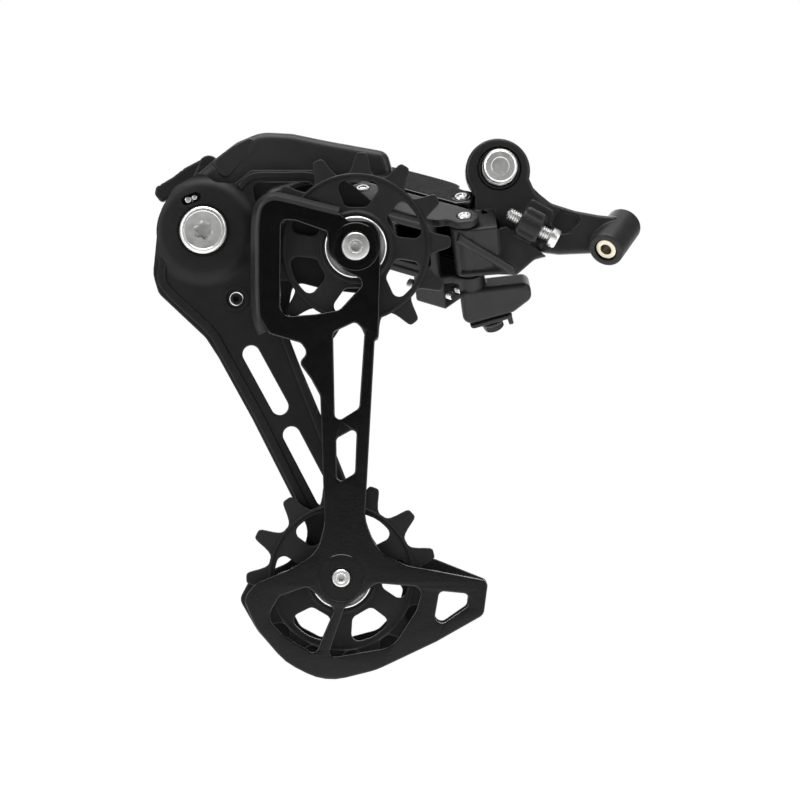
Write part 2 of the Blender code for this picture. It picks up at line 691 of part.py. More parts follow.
def make_switch():
    lever = side_prism("switch_lever", rounded([
        (-82.6, 4.3, 2), (-87.0, 4.6, 2), (-92.8, 1.6), (-96.2, -1.1), (-101.2, -4.0, 1), (-101.6, -6.2, 1),
        (-99.6, -8.8, 1), (-89.8, -2.3, 3), (-82.2, -1.6, 2),
    ]), HOUSING[1] + 0.4, HOUSING[1] + 4.4)
    shaft = side_rod("switch_shaft", 1.2, SWITCH_PIVOT, 12.0, HOUSING[1] + 1.0, sides=14)
    finish(join(lever, shaft), "switch", "dark_plastic")
    cam = ring("switch_cam", 1.2 + GAP, 2.1, SWITCH_PIVOT, 13.4, 16.6, sides=20)
    finish(cam, "switch", "spring_steel")


# ---------------------------------------------------------------- cage group

def outer_plate_outline():
    return rounded([
        (-93.5, -5.8, 3), (-97.4, -12.4, 4), (-98.6, -20.0, 6), (-99.9, -31.0, 6), (-98.2, -36.6, 3),
        (-84.7, -49.3, 4), (-81.0, -55.0, 5), (-71.2, -72.8), (-60.1, -94.7), (-54.0, -106.5, 8),
        (-61.0, -114.0, 6),
        (-72.0, -118.8, 5), (-75.0, -124.5, 3), (-69.6, -134.0, 8), (-61.5, -142.0, 8), (-50.0, -147.3, 9),
        (-36.0, -144.6, 9), (-19.0, -136.6), (-5.4, -129.0, 2), (-3.5, -119.0, 1.5), (-19.0, -112.8, 3),
        (-33.0, -112.4, 4), (-38.0, -105.0, 6), (-40.5, -98.5, 5), (-44.5, -89.5), (-51.8, -71.0),
        (-60.6, -50.1, 4), (-60.8, -40.5, 2), (-59.5, -33.0, 3),
        (-50.0, -35.5, 3), (-38.0, -36.8, 6), (-29.6, -27.5, 7),
        (-31.0, -14.5, 6), (-38.0, -9.0, 5), (-44.0, -4.0, 6), (-54.0, -1.0, 3), (-71.7, -1.0, 2),
        (-76.5, -5.0, 2),
        (-82.0, -4.6, 2), (-86.0, -1.6, 2),
    ])


def slanted_slot(start, end, width):
    """A slot with round ends between two centres."""
    start = Vector(start)
    end = Vector(end)
    heading = math.degrees(math.atan2(end[1] - start[1], end[0] - start[0]))
    half = width / 2
    return arc(end, half, heading - 90, heading + 90, 6) + arc(start, half, heading + 90, heading + 270, 6)


def guard_windows():
    left = rounded([
        (-66.5, -129.0, 4), (-63.0, -123.0, 2.5), (-55.2, -120.3, 2), (-47.4, -126.6, 1.5), (-53.0, -139.6, 1.5),
        (-62.0, -134.0, 5),
    ])
    right = rounded([
        (-44.6, -126.4, 1.5), (-35.5, -119.3, 3), (-22.3, -120.4, 2.2), (-24.3, -127.0, 4), (-31.0, -137.5, 8),
        (-49.4, -140.5, 1.5),
    ])
    tail = rounded([(-17.6, -121.5, 1.5), (-9.2, -122.3, 1.5), (-9.6, -126.0, 1.5), (-19.6, -133.0, 2)])
    return left, right, tail


def backing_windows():
    """The outer plate's guard windows, kept clear of the tension pulley's tooth gaps."""
    left = rounded([
        (-63.0, -121.5, 2), (-55.2, -120.3, 2), (-47.4, -126.6, 1.5), (-50.6, -135.9, 1.5), (-57.5, -132.3, 4),
    ])
    right = rounded([
        (-44.6, -126.4, 1.5), (-35.5, -119.3, 3), (-27.6, -120.3, 2), (-29.3, -127.0, 4), (-35.0, -133.2, 5),
        (-47.4, -136.5, 1.5),
    ])
    return left, right, guard_windows()[2]


def make_outer_cage_plate():
    arm_window = rounded([
        (-71.4, -4.6, 1.5), (-55.0, -4.4, 2), (-49.0, -9.5, 2), (-52.5, -13.0, 2), (-66.0, -14.0, 3),
        (-70.0, -11.5, 3),
    ])
    slots = [
        slanted_slot((-71.6, -54.0), (-63.4, -69.0), 5.0),
        slanted_slot((-60.0, -77.3), (-50.6, -95.2), 5.0),
    ]
    holes = [arm_window, *slots, *backing_windows()]
    plate = side_prism("outer_cage_plate", outer_plate_outline(), *OUTER_PLATE, holes)
    dome = side_rod("dome", DOME_FOOT, P_AXLE, OUTER_PLATE[0] + 0.5, OUTER_PLATE[0] - DOME_HEIGHT,
        DOME_TOP, sides=36)
    join(plate, dome)
    cut(
        plate,
        side_rod("plate_axle_hole", 3.3, P_AXLE, -12.0, 0.0, sides=20),
        side_rod("plate_pin_hole", 1.7 + GAP, STOP_PIN, -12.0, 0.0, sides=16),
        side_rod("plate_guide_hole", PULLEY_BOLT_RADIUS + GAP, GUIDE, -12.0, 0.0, sides=20),
        side_rod("plate_tension_hole", PULLEY_BOLT_RADIUS + GAP, TENSION, -12.0, 0.0, sides=20),
        side_rod("plate_spring_hole", 1.8, SPRING_LEG, -12.0, 0.0, sides=16),
    )
    finish(plate, "cage", "satin_black")


def make_inner_cage_plate():
    outline = rounded([
        (-66.0, -9.4, 5), (-58.0, -11.3), (-43.5, -14.6, 3), (-34.4, -16.6, 8), (-34.3, -29.0),
        (-34.9, -49.3, 1),
        (-36.0, -50.6, 1), (-38.3, -92.6), (-38.8, -101.0, 8), (-35.2, -110.2, 10),
        (-27.0, -114.2, 8), (-20.3, -115.4),
        (-3.7, -118.6, 1.5), (-5.0, -128.3, 2), (-18.4, -135.9), (-35.5, -144.0, 12), (-50.0, -147.6, 9),
        (-61.5, -141.8, 9), (-69.9, -132.0, 8), (-73.4, -123.5, 3), (-70.0, -119.3, 4), (-60.0, -115.3, 5),
        (-52.3, -110.2, 6), (-50.3, -102.0, 8), (-50.5, -95.0), (-51.5, -66.0, 2), (-54.2, -61.1),
        (-57.6, -56.5, 1.5),
        (-55.0, -53.8, 2), (-57.0, -51.0, 2), (-66.0, -48.4, 2), (-69.3, -43.0, 4), (-69.5, -13.5, 5),
    ])
    loop_window = rounded([
        (-62.6, -16.0, 2), (-58.5, -16.3, 2), (-49.6, -19.4, 1), (-49.3, -27.0, 5), (-44.0, -31.0, 3),
        (-38.4, -33.4, 2),
        (-46.0, -41.6, 2), (-52.7, -42.8), (-62.8, -43.6, 2.5),
    ])
    upper_window = rounded([
        (-47.8, -48.0, 1.5), (-41.5, -45.0, 1.5), (-38.9, -47.6, 1.5), (-40.4, -69.5, 2),
        (-47.3, -73.8, 1.5),
    ])
    lower_window = rounded([
        (-46.9, -78.2, 1.5), (-41.1, -75.0, 1.2), (-41.6, -88.0, 1.5), (-46.7, -91.0, 1.2),
    ])
    holes = [loop_window, upper_window, lower_window, *guard_windows()]
    plate = side_prism("inner_cage_plate", outline, *INNER_PLATE, holes)
    lip_outer = [(-70.6, -43.5, 3), (-70.8, -13.0, 5), (-66.0, -8.2, 5), (-57.5, -10.0), (-57.8, -11.5)]
    lip_inner = [(-66.0, -10.0, 4), (-69.1, -14.0, 4), (-69.0, -43.5, 2)]
    lip = side_prism("inner_plate_lip", rounded(lip_outer + lip_inner), INNER_PLATE[0] + 0.4, -14.2)
    join(plate, lip)
    cut(
        plate,
        side_rod("inner_guide_hole", PULLEY_BOLT_RADIUS + GAP, GUIDE, -22.0, -12.0, sides=20),
        side_rod("inner_tension_hole", PULLEY_BOLT_RADIUS + GAP, TENSION, -22.0, -12.0, sides=20),
    )
    finish(plate, "cage", "gloss_black")


def make_cage_axle():
    finish(ring("p_axle", 3.3, 5.3, P_AXLE, OUTER_PLATE[1] + GAP, 18.0), "cage", "silver")
    bolt = side_rod("p_axle_bolt", 6.75, P_AXLE, -11.2, -9.7, sides=32)
    shank = side_rod("p_axle_shank", 3.0, P_AXLE, -10.5, 17.0, sides=20)
    socket = side_rod("p_axle_socket", 2.4, P_AXLE, -12.0, -9.2, sides=6)
    finish(cut(join(bolt, shank), socket), "cage", "silver")
    pin = side_rod("cage_stop_pin", 1.7, STOP_PIN, -8.3, -1.2, sides=16)
    socket = side_rod("stop_socket", 0.9, STOP_PIN, -9.0, -7.4, sides=6)
    finish(cut(pin, socket), "cage", "satin_black")
    seal = ring("p_seal_ring", 11.9, 13.6, P_AXLE, OUTER_PLATE[1] + GAP, HOUSING[0] - GAP)
    finish(seal, "p_knuckle", "black_rubber")
    turns = 4
    per_turn = 10
    bend = polar(P_AXLE, SPRING_RADIUS, SPRING_LEG_ANGLE - 2.0)
    points = [(*SPRING_LEG, -6.4), (*SPRING_LEG, -1.6), (*bend, -0.4)]
    for step in range(turns * per_turn + 1):
        angle = SPRING_LEG_ANGLE - 6.0 - 360.0 * step / per_turn
        points.append((*polar(P_AXLE, SPRING_RADIUS, angle), 0.4 + 7.2 * step / (turns * per_turn)))
    finish(coil("p_tension_spring", 0.8, [(x, y, z) for x, z, y in points]), "cage", "spring_steel")


def tooth_ring(centre, first_tooth):
    """The toothed outline of a pulley: narrow teeth with round roots between them."""
    tooth = [
        (-9.6, 21.5), (-6.4, 23.3), (-4.2, 26.0), (-2.4, TIP_RADIUS),
        (2.4, TIP_RADIUS), (4.2, 26.0), (6.4, 23.3), (9.6, 21.5),
    ]
    outline = []
    for index in range(PULLEY_TEETH):
        middle = first_tooth + 360.0 * index / PULLEY_TEETH
        for offset, radius in tooth:
            outline.append(Vector(polar(centre, radius, middle + offset)))
        outline.append(Vector(polar(centre, ROOT_RADIUS - 0.4, middle + 180.0 / PULLEY_TEETH)))
    return outline


def pulley_windows(centre, first, inner, outer, skew):
    """Six windows between the hub and the toothed rim, leaning to one side."""
    windows = []
    for index in range(6):
        middle = first + 60.0 * index
        windows.append(rounded([
            (*polar(centre, outer, middle + 20 + skew), 2.2),
            (*polar(centre, outer, middle - 18 + skew), 2.2),
            (*polar(centre, inner, middle - 15), 1.6), (*polar(centre, inner, middle + 15), 1.6),
        ]))
    return windows


def make_pulley(name, centre, first_tooth, windows):
    half = TOOTH_THICKNESS / 2
    wheel = side_prism(name, tooth_ring(centre, first_tooth), PULLEY_MID - half, PULLEY_MID + half, windows)
    hub = side_rod(f"{name}_hub", 10.3, centre, PULLEY_MID - HUB_HALF, PULLEY_MID + HUB_HALF, sides=32)
    bore = side_rod(f"{name}_bore", 5.1, centre, PULLEY_MID - 6, PULLEY_MID + 6, sides=24)
    finish(cut(join(wheel, hub), bore), name, "dark_plastic")


def make_pulley_bearing(prefix, centre):
    bush_radius = PULLEY_BOLT_RADIUS + GAP
    bush = ring(f"{prefix}_pulley_bush", bush_radius, 4.8, centre, PULLEY_MID - HUB_HALF,
        PULLEY_MID + HUB_HALF, 24)
    finish(bush, "cage", "silver")
    for side, label in ((-1, "inner"), (1, "outer")):
        near = PULLEY_MID + side * (HUB_HALF + GAP)
        far = near + side * SEAL_THICKNESS
        seal = ring(f"{prefix}_seal_{label}", bush_radius, 8.8, centre, min(near, far), max(near, far))
        finish(seal, "cage", "silver")


def make_pulley_bolts():
    guide = side_rod("guide_pulley_bolt", PULLEY_BOLT_RADIUS, GUIDE, -18.8, OUTER_PLATE[1] + 1.0, sides=20)
    head = side_rod("guide_head", 3.95, GUIDE, -19.7, INNER_PLATE[0] - GAP, sides=24)
    socket = side_rod("guide_socket", 1.8, GUIDE, -21.0, -18.2, sides=6)
    finish(cut(join(guide, head), socket), "cage", "silver")
    outboard = OUTER_PLATE[1] + GAP
    tension = side_rod("tension_pulley_bolt", PULLEY_BOLT_RADIUS, TENSION, -18.7, outboard + 1.0, sides=20)
    head = side_rod("tension_head", 3.95, TENSION, outboard, outboard + 1.8, sides=24)
    socket = side_rod("tension_socket", 1.5, TENSION, outboard + 0.7, outboard + 3.0, sides=6)
    finish(cut(join(tension, head), socket), "cage", "silver")


# ---------------------------------------------------------------- assembly

body_empty("mounting_bolt", (0, 0, 0))
body_empty("b_knuckle", (0, 0, 0))
body_empty("b_screw", B_SCREW_TIP)
body_empty("outer_link", OUTER_B_PIN)
body_empty("inner_link", INNER_B_PIN)
body_empty("high_limit", limit_screw_lines(*LIMIT_SHAFT)["high"][0])
body_empty("low_limit", limit_screw_lines(*LIMIT_SHAFT)["low"][0])
body_empty("p_knuckle", OUTER_P_PIN)
body_empty("switch", on_axis(SWITCH_PIVOT, HOUSING[1]))
body_empty("cage", on_axis(P_AXLE, 0))
body_empty("guide_pulley", on_axis(GUIDE, PULLEY_MID))
body_empty("tension_pulley", on_axis(TENSION, PULLEY_MID))

make_mounting_bolt()
make_b_knuckle()
make_pins()
make_outer_link()
make_inner_link()
make_limit_screws()
make_cable_clamp()
make_p_knuckle()
make_return_spring()
make_clutch()
make_switch()
make_outer_cage_plate()
make_inner_cage_plate()
make_cage_axle()
make_pulley("guide_pulley", GUIDE, 3.5, pulley_windows(GUIDE, 90.0, 12.6, 19.4, -4))
make_pulley("tension_pulley", TENSION, 14.5, pulley_windows(TENSION, 60.0, 12.4, 18.6, 6))
make_pulley_bearing("guide", GUIDE)
make_pulley_bearing("tension", TENSION)
make_pulley_bolts()
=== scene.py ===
"""Studio scene of the rear derailleur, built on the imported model's bodies.

Helpers take millimetres; objects are in metres. +X is the rear of the bike, +Y outboard.
"""
import json
import math

import bmesh
import bpy
from mathutils import Matrix, Vector

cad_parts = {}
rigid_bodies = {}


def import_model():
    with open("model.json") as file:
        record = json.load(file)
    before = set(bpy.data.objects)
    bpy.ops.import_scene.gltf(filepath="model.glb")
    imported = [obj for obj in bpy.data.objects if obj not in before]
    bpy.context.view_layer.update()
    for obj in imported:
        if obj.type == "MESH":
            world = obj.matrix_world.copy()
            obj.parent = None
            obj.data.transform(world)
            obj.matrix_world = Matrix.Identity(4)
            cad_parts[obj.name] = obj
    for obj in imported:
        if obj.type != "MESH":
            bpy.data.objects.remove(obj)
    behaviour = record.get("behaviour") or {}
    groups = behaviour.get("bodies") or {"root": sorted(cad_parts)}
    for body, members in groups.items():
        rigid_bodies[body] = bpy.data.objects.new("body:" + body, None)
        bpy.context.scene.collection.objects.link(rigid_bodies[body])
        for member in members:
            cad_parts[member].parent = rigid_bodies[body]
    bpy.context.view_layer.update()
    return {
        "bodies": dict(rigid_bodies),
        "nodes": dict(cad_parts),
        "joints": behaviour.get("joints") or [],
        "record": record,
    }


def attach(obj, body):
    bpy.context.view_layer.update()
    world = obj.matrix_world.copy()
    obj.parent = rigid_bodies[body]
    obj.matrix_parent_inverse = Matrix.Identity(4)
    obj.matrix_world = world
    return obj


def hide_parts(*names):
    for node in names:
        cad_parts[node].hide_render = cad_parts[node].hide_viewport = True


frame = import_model()
NODES = frame["nodes"]

MM = 0.001
P_AXLE = (-85.2, -18.5)
GUIDE = (-41.4, -23.6)
TENSION = (-45.5, -117.8)
SWITCH_PIVOT = (-84.8, 1.4)
STOP_PIN = (-75.9, -38.1)
INNER_PLATE = (-18.0, -16.4)
OUTER_PLATE = (-7.6, -5.6)
PULLEY_MID = -12.0
TEETH = 13
PULLEY_BOLT_HOLE = 2.8
B_SCREW_BORE = 2.2
B_SCREW_HEAD_RELIEF = 3.2
HOUSING = (-4.0, 20.0)
PIN_AXIS = Vector((-0.10, -0.50, 0.86)).normalized()
REARWARD = Vector((0.86, 0.0, 0.10)).normalized()
OUTWARD = PIN_AXIS.cross(REARWARD)
OUTER_B_PIN = Vector((-10.0, 8.0, -17.0))
LINK_LENGTH = 38.0
REST_ANGLE = math.radians(42.0)
LINK_DIR = -math.cos(REST_ANGLE) * REARWARD + math.sin(REST_ANGLE) * OUTWARD
INNER_B_PIN = OUTER_B_PIN - 12.5 * OUTWARD
OUTER_P_PIN = OUTER_B_PIN + LINK_LENGTH * LINK_DIR
INNER_P_PIN = INNER_B_PIN + LINK_LENGTH * LINK_DIR
BARREL_NEAR = Vector((30.5, -3.0, -24.0))
BARREL_FAR = Vector((36.9, 9.0, -15.6))
B_SCREW_TIP = Vector((2.2, -3.2, -13.1))
B_SCREW_HEAD = Vector((14.6, -3.2, -19.8))
SIDE = Matrix(((1, 0, 0, 0), (0, 0, -1, 0), (0, 1, 0, 0), (0, 0, 0, 1)))
SHELF = bpy.data.collections.new("visual")
bpy.context.scene.collection.children.link(SHELF)


# ---------------------------------------------------------------- outlines

def polar(centre, radius, degrees):
    angle = math.radians(degrees)
    return (centre[0] + radius * math.cos(angle), centre[1] + radius * math.sin(angle))


def arc(centre, radius, start, end, steps):
    return [Vector(polar(centre, radius, start + (end - start) * step / steps)) for step in range(steps + 1)]


def rounded(corners, step_angle=12.0):
    """Points of an outline from corners (x, y) or (x, y, radius)."""
    points = []
    for index, corner in enumerate(corners):
        here = Vector(corner[:2])
        if len(corner) == 2:
            points.append(here)
            continue
        before = Vector(corners[index - 1][:2]) - here
        after = Vector(corners[(index + 1) % len(corners)][:2]) - here
        shortest = min(before.length, after.length)
        before.normalize()
        after.normalize()
        half = before.angle(after) / 2
        reach = min(corner[2] / math.tan(half), 0.48 * shortest)
        centre = here + (before + after).normalized() * reach / math.cos(half)
        start = here + before * reach - centre
        end = here + after * reach - centre
        sweep = start.angle_signed(end)
        steps = max(2, math.ceil(abs(sweep) / math.radians(step_angle)))
        for step in range(steps + 1):
            turned = start.copy()
            turned.rotate(Matrix.Rotation(-sweep * step / steps, 2))
            points.append(centre + turned)
    return points


def strip(path, width):
    """Outline of a band of even width along a path."""
    points = [Vector(point) for point in path]
    left = []
    right = []
    for index, point in enumerate(points):
        before = points[max(index - 1, 0)]
        after = points[min(index + 1, len(points) - 1)]
        along = (after - before).normalized()
        across = Vector((-along[1], along[0])) * width / 2
        left.append(point + across)
        right.append(point - across)
    return left + right[::-1]


def smooth_path(path, pieces=6):
    """A Catmull-Rom curve through the points of a path."""
    points = [Vector(point) for point in path]
    points = [points[0] * 2 - points[1], *points, points[-1] * 2 - points[-2]]
    result = []
    for index in range(1, len(points) - 2):
        a, b, c, d = points[index - 1:index + 3]
        for step in range(pieces):
            t = step / pieces
            result.append(0.5 * (2 * b + (c - a) * t + (2 * a - 5 * b + 4 * c - d) * t ** 2
                                 + (3 * b - a - 3 * c + d) * t ** 3))
    result.append(points[-2])
    return result


# ---------------------------------------------------------------- solids

def frame_of(origin, x_axis, z_axis):
    z_dir = Vector(z_axis).normalized()
    x_dir = Vector(x_axis).normalized()
    turn = Matrix((x_dir, z_dir.cross(x_dir), z_dir)).transposed().to_4x4()
    return Matrix.Translation(Vector(origin) * MM) @ turn


def add_object(name, mesh, place):
    result = bpy.data.objects.new(name, mesh)
    SHELF.objects.link(result)
    result.matrix_world = place
    return result


def welded(mesh, distance=0.000004):
    work = bmesh.new()
    work.from_mesh(mesh)
    bmesh.ops.remove_doubles(work, verts=work.verts, dist=distance)
    bmesh.ops.dissolve_degenerate(work, dist=distance / 2, edges=work.edges)
    bmesh.ops.recalc_face_normals(work, faces=work.faces)
    work.to_mesh(mesh)
    work.free()
    return mesh


def bake(target):
    """Apply an object's modifiers to its mesh."""
    bpy.context.view_layer.update()
    graph = bpy.context.evaluated_depsgraph_get()
    mesh = bpy.data.meshes.new_from_object(target.evaluated_get(graph))
    target.modifiers.clear()
    target.data = mesh
    return target


def plate(name, outline, low, high, edge=0.3, frame=SIDE, holes=(), rings=3):
    """A flat outline with holes and rounded edges, from low to high along the frame's z."""
    data = bpy.data.curves.new(name, "CURVE")
    data.dimensions = "2D"
    data.fill_mode = "BOTH"
    data.extrude = ((high - low) / 2 - edge) * MM
    data.bevel_depth = edge * MM
    data.bevel_resolution = rings
    data.offset = -edge * MM
    for loop in (outline, *holes):
        spline = data.splines.new("POLY")
        spline.points.add(len(loop) - 1)
        for point, place in zip(spline.points, loop):
            point.co = (place[0] * MM, place[1] * MM, 0, 1)
        spline.use_cyclic_u = True
    flat = bpy.data.objects.new(name, data)
    SHELF.objects.link(flat)
    flat.matrix_world = frame @ Matrix.Translation((0, 0, (low + high) / 2 * MM))
    bpy.context.view_layer.update()
    graph = bpy.context.evaluated_depsgraph_get()
    mesh = welded(bpy.data.meshes.new_from_object(flat.evaluated_get(graph)))
    place = flat.matrix_world.copy()
    bpy.data.objects.remove(flat, do_unlink=True)
    return add_object(name, mesh, place)


def side_plate(name, outline, y_from, y_to, edge=0.3, holes=()):
    return plate(name, outline, -y_to, -y_from, edge, SIDE, holes)


def lathe(name, profile, origin, axis, sides=64):
    """A turned piece. Its profile is (radius, height) and closes on itself or on the axis."""
    origin = Vector(origin)
    axis = Vector(axis).normalized()
    side = axis.orthogonal().normalized()
    place = frame_of(origin, side, axis)
    work = bmesh.new()
    rows = []
    for radius, height in profile:
        if radius < 0.001:
            rows.append([work.verts.new((0, 0, height * MM))])
            continue
        rows.append([
            work.verts.new((
                radius * MM * math.cos(2 * math.pi * step / sides),
                radius * MM * math.sin(2 * math.pi * step / sides),
                height * MM,
            ))
            for step in range(sides)
        ])
    pairs = list(zip(rows, rows[1:]))
    if len(rows[0]) > 1:
        pairs.append((rows[-1], rows[0]))
    for first, second in pairs:
        for step in range(sides):
            following = (step + 1) % sides
            corners = [first[step % len(first)], first[following % len(first)],
                       second[following % len(second)], second[step % len(second)]]
            unique = list(dict.fromkeys(corners))
            if len(unique) > 2:
                work.faces.new(unique)
    bmesh.ops.recalc_face_normals(work, faces=work.faces)
    mesh = bpy.data.meshes.new(name)
    work.to_mesh(mesh)
    work.free()
    return add_object(name, mesh, place)


def side_lathe(name, profile, centre, sides=64):
    """A turned piece about an axis along Y; the profile's heights are Y."""
    return lathe(name, profile, (centre[0], 0, centre[1]), (0, 1, 0), sides)


def drum(radius, low, high, edge=0.4):
    """Profile of a cylinder with rounded rims."""
    corner = [(edge * math.cos(a), edge * math.sin(a)) for a in (0, math.pi / 8, math.pi / 4,
        3 * math.pi / 8, math.pi / 2)]
    lower = [(radius - edge + c, low + edge - s) for c, s in corner[::-1]]
    upper = [(radius - edge + c, high - edge + s) for c, s in corner]
    return [(0, low), *lower, *upper, (0, high)]


def washer(inner, outer, low, high, edge=0.15):
    """Profile of a ring with broken edges."""
    return [
        (inner, low + edge), (inner + edge, low), (outer - edge, low), (outer, low + edge),
        (outer, high - edge), (outer - edge, high), (inner + edge, high), (inner, high - edge),
    ]


def thread(radius, start, end, pitch, depth):
    """Points down a threaded shank, as a stack of ridges."""
    points = []
    turns = int(abs(end - start) / pitch)
    step = (end - start) / turns
    for index in range(turns):
        base = start + index * step
        points += [(radius - depth, base), (radius, base + step * 0.4), (radius, base + step * 0.6)]
    points.append((radius - depth, end))
    return points


def prism_tool(sides, radius, origin, axis, low, high, x_dir=None, waist=1.0):
    """A socket cutter: a polygon, or a star when waist is below 1."""
    axis = Vector(axis).normalized()
    side = Vector(x_dir).normalized() if x_dir else axis.orthogonal().normalized()
    points = []
    count = sides if waist == 1.0 else sides * 6
    for index in range(count):
        angle = 2 * math.pi * index / count
        reach = radius if waist == 1.0 else radius * (1 + waist + (1 - waist) * math.cos(sides * angle)) / 2
        points.append((reach * math.cos(angle), reach * math.sin(angle)))
    return plate("tool", points, low, high, 0.02, frame_of(origin, side, axis), rings=1)


def solid(target, operation, tools):
    for tool in tools:
        before = target.data
        for solver in ("MANIFOLD", "EXACT"):
            modifier = target.modifiers.new("solid", "BOOLEAN")
            modifier.operation = operation
            modifier.solver = solver
            modifier.object = tool
            bake(target)
            if len(target.data.polygons) > 0:
                break
            target.data = before
        bpy.data.objects.remove(tool, do_unlink=True)
    return target


def join(target, *tools):
    return solid(target, "UNION", tools)


def cut(target, *tools):
    return solid(target, "DIFFERENCE", tools)


def keep_common(target, *tools):
    return solid(target, "INTERSECT", tools)


def cast(target, voxel=0.24, passes=5):
    """Soften a solid's edges, as a moulding or forging has them."""
    remesh = target.modifiers.new("cast", "REMESH")
    remesh.mode = "VOXEL"
    remesh.voxel_size = voxel * MM
    smooth = target.modifiers.new("soften", "SMOOTH")
    smooth.factor = 0.5
    smooth.iterations = passes
    bake(target)
    target.data.transform(target.matrix_world)
    target.matrix_world = Matrix.Identity(4)
    for polygon in target.data.polygons:
        polygon.use_smooth = True
    target["soft"] = 1
    return target


def rod(radius, start, end, edge=0.4, sides=48):
    start = Vector(start)
    end = Vector(end)
    return lathe("rod", drum(radius, 0, (end - start).length, edge), start, end - start, sides)


def box(low, high, edge=0.5, frame=None):
    low = Vector(low)
    high = Vector(high)
    outline = [(low.x, low.y), (high.x, low.y), (high.x, high.y), (low.x, high.y)]
    return plate("box", outline, low.z, high.z, edge, frame or Matrix.Identity(4))


def sweep(name, path, section):
    """A band along a path in X and Z; its section is (distance to the left of the path, Y)."""
    points = [Vector(point) for point in path]
    work = bmesh.new()
    rows = []
    for index, point in enumerate(points):
        along = (points[min(index + 1, len(points) - 1)] - points[max(index - 1, 0)]).normalized()
        left = Vector((-along[1], along[0]))
        rows.append([
            work.verts.new(((point[0] + left[0] * side) * MM, y * MM, (point[1] + left[1] * side) * MM))
            for side, y in section
        ])
    for first, second in zip(rows, rows[1:]):
        for step in range(len(section)):
            following = (step + 1) % len(section)
            work.faces.new((first[step], first[following], second[following], second[step]))
    work.faces.new(rows[0])
    work.faces.new(rows[-1][::-1])
    bmesh.ops.recalc_face_normals(work, faces=work.faces)
    mesh = bpy.data.meshes.new(name)
    work.to_mesh(mesh)
    work.free()
    return add_object(name, mesh, Matrix.Identity(4))


# ---------------------------------------------------------------- materials

def material(name, low, high, metallic, rough, grain, bump, coat=0.0, turning=0.0, specular=0.5):
    """A finish with fine grain, slow colour drift and uneven gloss. grain is in millimetres."""
    mat = bpy.data.materials.new(name)
    mat.use_nodes = True
    tree = mat.node_tree
    shader = tree.nodes["Principled BSDF"]
    shader.inputs["Metallic"].default_value = metallic
    shader.inputs["Coat Weight"].default_value = coat
    shader.inputs["Coat Roughness"].default_value = 0.12
    shader.inputs["Specular IOR Level"].default_value = specular
    place = tree.nodes.new("ShaderNodeTexCoord").outputs["Object"]

    def noise(size, detail, roughness=0.55):
        node = tree.nodes.new("ShaderNodeTexNoise")
        node.inputs["Scale"].default_value = 1 / (size * MM)
        node.inputs["Detail"].default_value = detail
        node.inputs["Roughness"].default_value = roughness
        tree.links.new(place, node.inputs["Vector"])
        return node.outputs["Fac"]

    def ramp(value, start, end, first, last):
        node = tree.nodes.new("ShaderNodeMapRange")
        node.inputs["From Min"].default_value = start
        node.inputs["From Max"].default_value = end
        node.inputs["To Min"].default_value = first
        node.inputs["To Max"].default_value = last
        tree.links.new(value, node.inputs["Value"])
        return node.outputs["Result"]

    fine = noise(grain, 3)
    slow = noise(grain * 30, 4)
    scuff = noise(grain * 6, 6, 0.7)
    blend = tree.nodes.new("ShaderNodeMix")
    blend.data_type = "RGBA"
    blend.inputs["A"].default_value = (*low, 1)
    blend.inputs["B"].default_value = (*high, 1)
    total = tree.nodes.new("ShaderNodeMath")
    total.operation = "ADD"
    tree.links.new(ramp(fine, 0.3, 0.7, 0.0, 0.5), total.inputs[0])
    tree.links.new(ramp(slow, 0.35, 0.65, 0.0, 0.5), total.inputs[1])
    tree.links.new(total.outputs[0], blend.inputs["Factor"])
    tree.links.new(blend.outputs["Result"], shader.inputs["Base Color"])
    tree.links.new(ramp(scuff, 0.35, 0.7, rough * 0.9, rough * 1.15), shader.inputs["Roughness"])
    height = tree.nodes.new("ShaderNodeBump")
    height.inputs["Strength"].default_value = bump
    height.inputs["Distance"].default_value = grain * 0.12 * MM
    tree.links.new(fine, height.inputs["Height"])
    if turning:
        split = tree.nodes.new("ShaderNodeSeparateXYZ")
        tree.links.new(place, split.inputs["Vector"])
        flat = tree.nodes.new("ShaderNodeCombineXYZ")
        tree.links.new(split.outputs["X"], flat.inputs["X"])
        tree.links.new(split.outputs["Y"], flat.inputs["Y"])
        length = tree.nodes.new("ShaderNodeVectorMath")
        length.operation = "LENGTH"
        tree.links.new(flat.outputs["Vector"], length.inputs[0])
        rings = tree.nodes.new("ShaderNodeTexNoise")
        rings.noise_dimensions = "1D"
        rings.inputs["Scale"].default_value = 1 / (0.12 * MM)
        rings.inputs["Detail"].default_value = 2
        tree.links.new(length.outputs["Value"], rings.inputs["W"])
        lines = tree.nodes.new("ShaderNodeBump")
        lines.inputs["Strength"].default_value = turning
        lines.inputs["Distance"].default_value = 0.00002
        tree.links.new(rings.outputs["Fac"], lines.inputs["Height"])
        tree.links.new(height.outputs["Normal"], lines.inputs["Normal"])
        tree.links.new(lines.outputs["Normal"], shader.inputs["Normal"])
    else:
        tree.links.new(height.outputs["Normal"], shader.inputs["Normal"])
    return mat


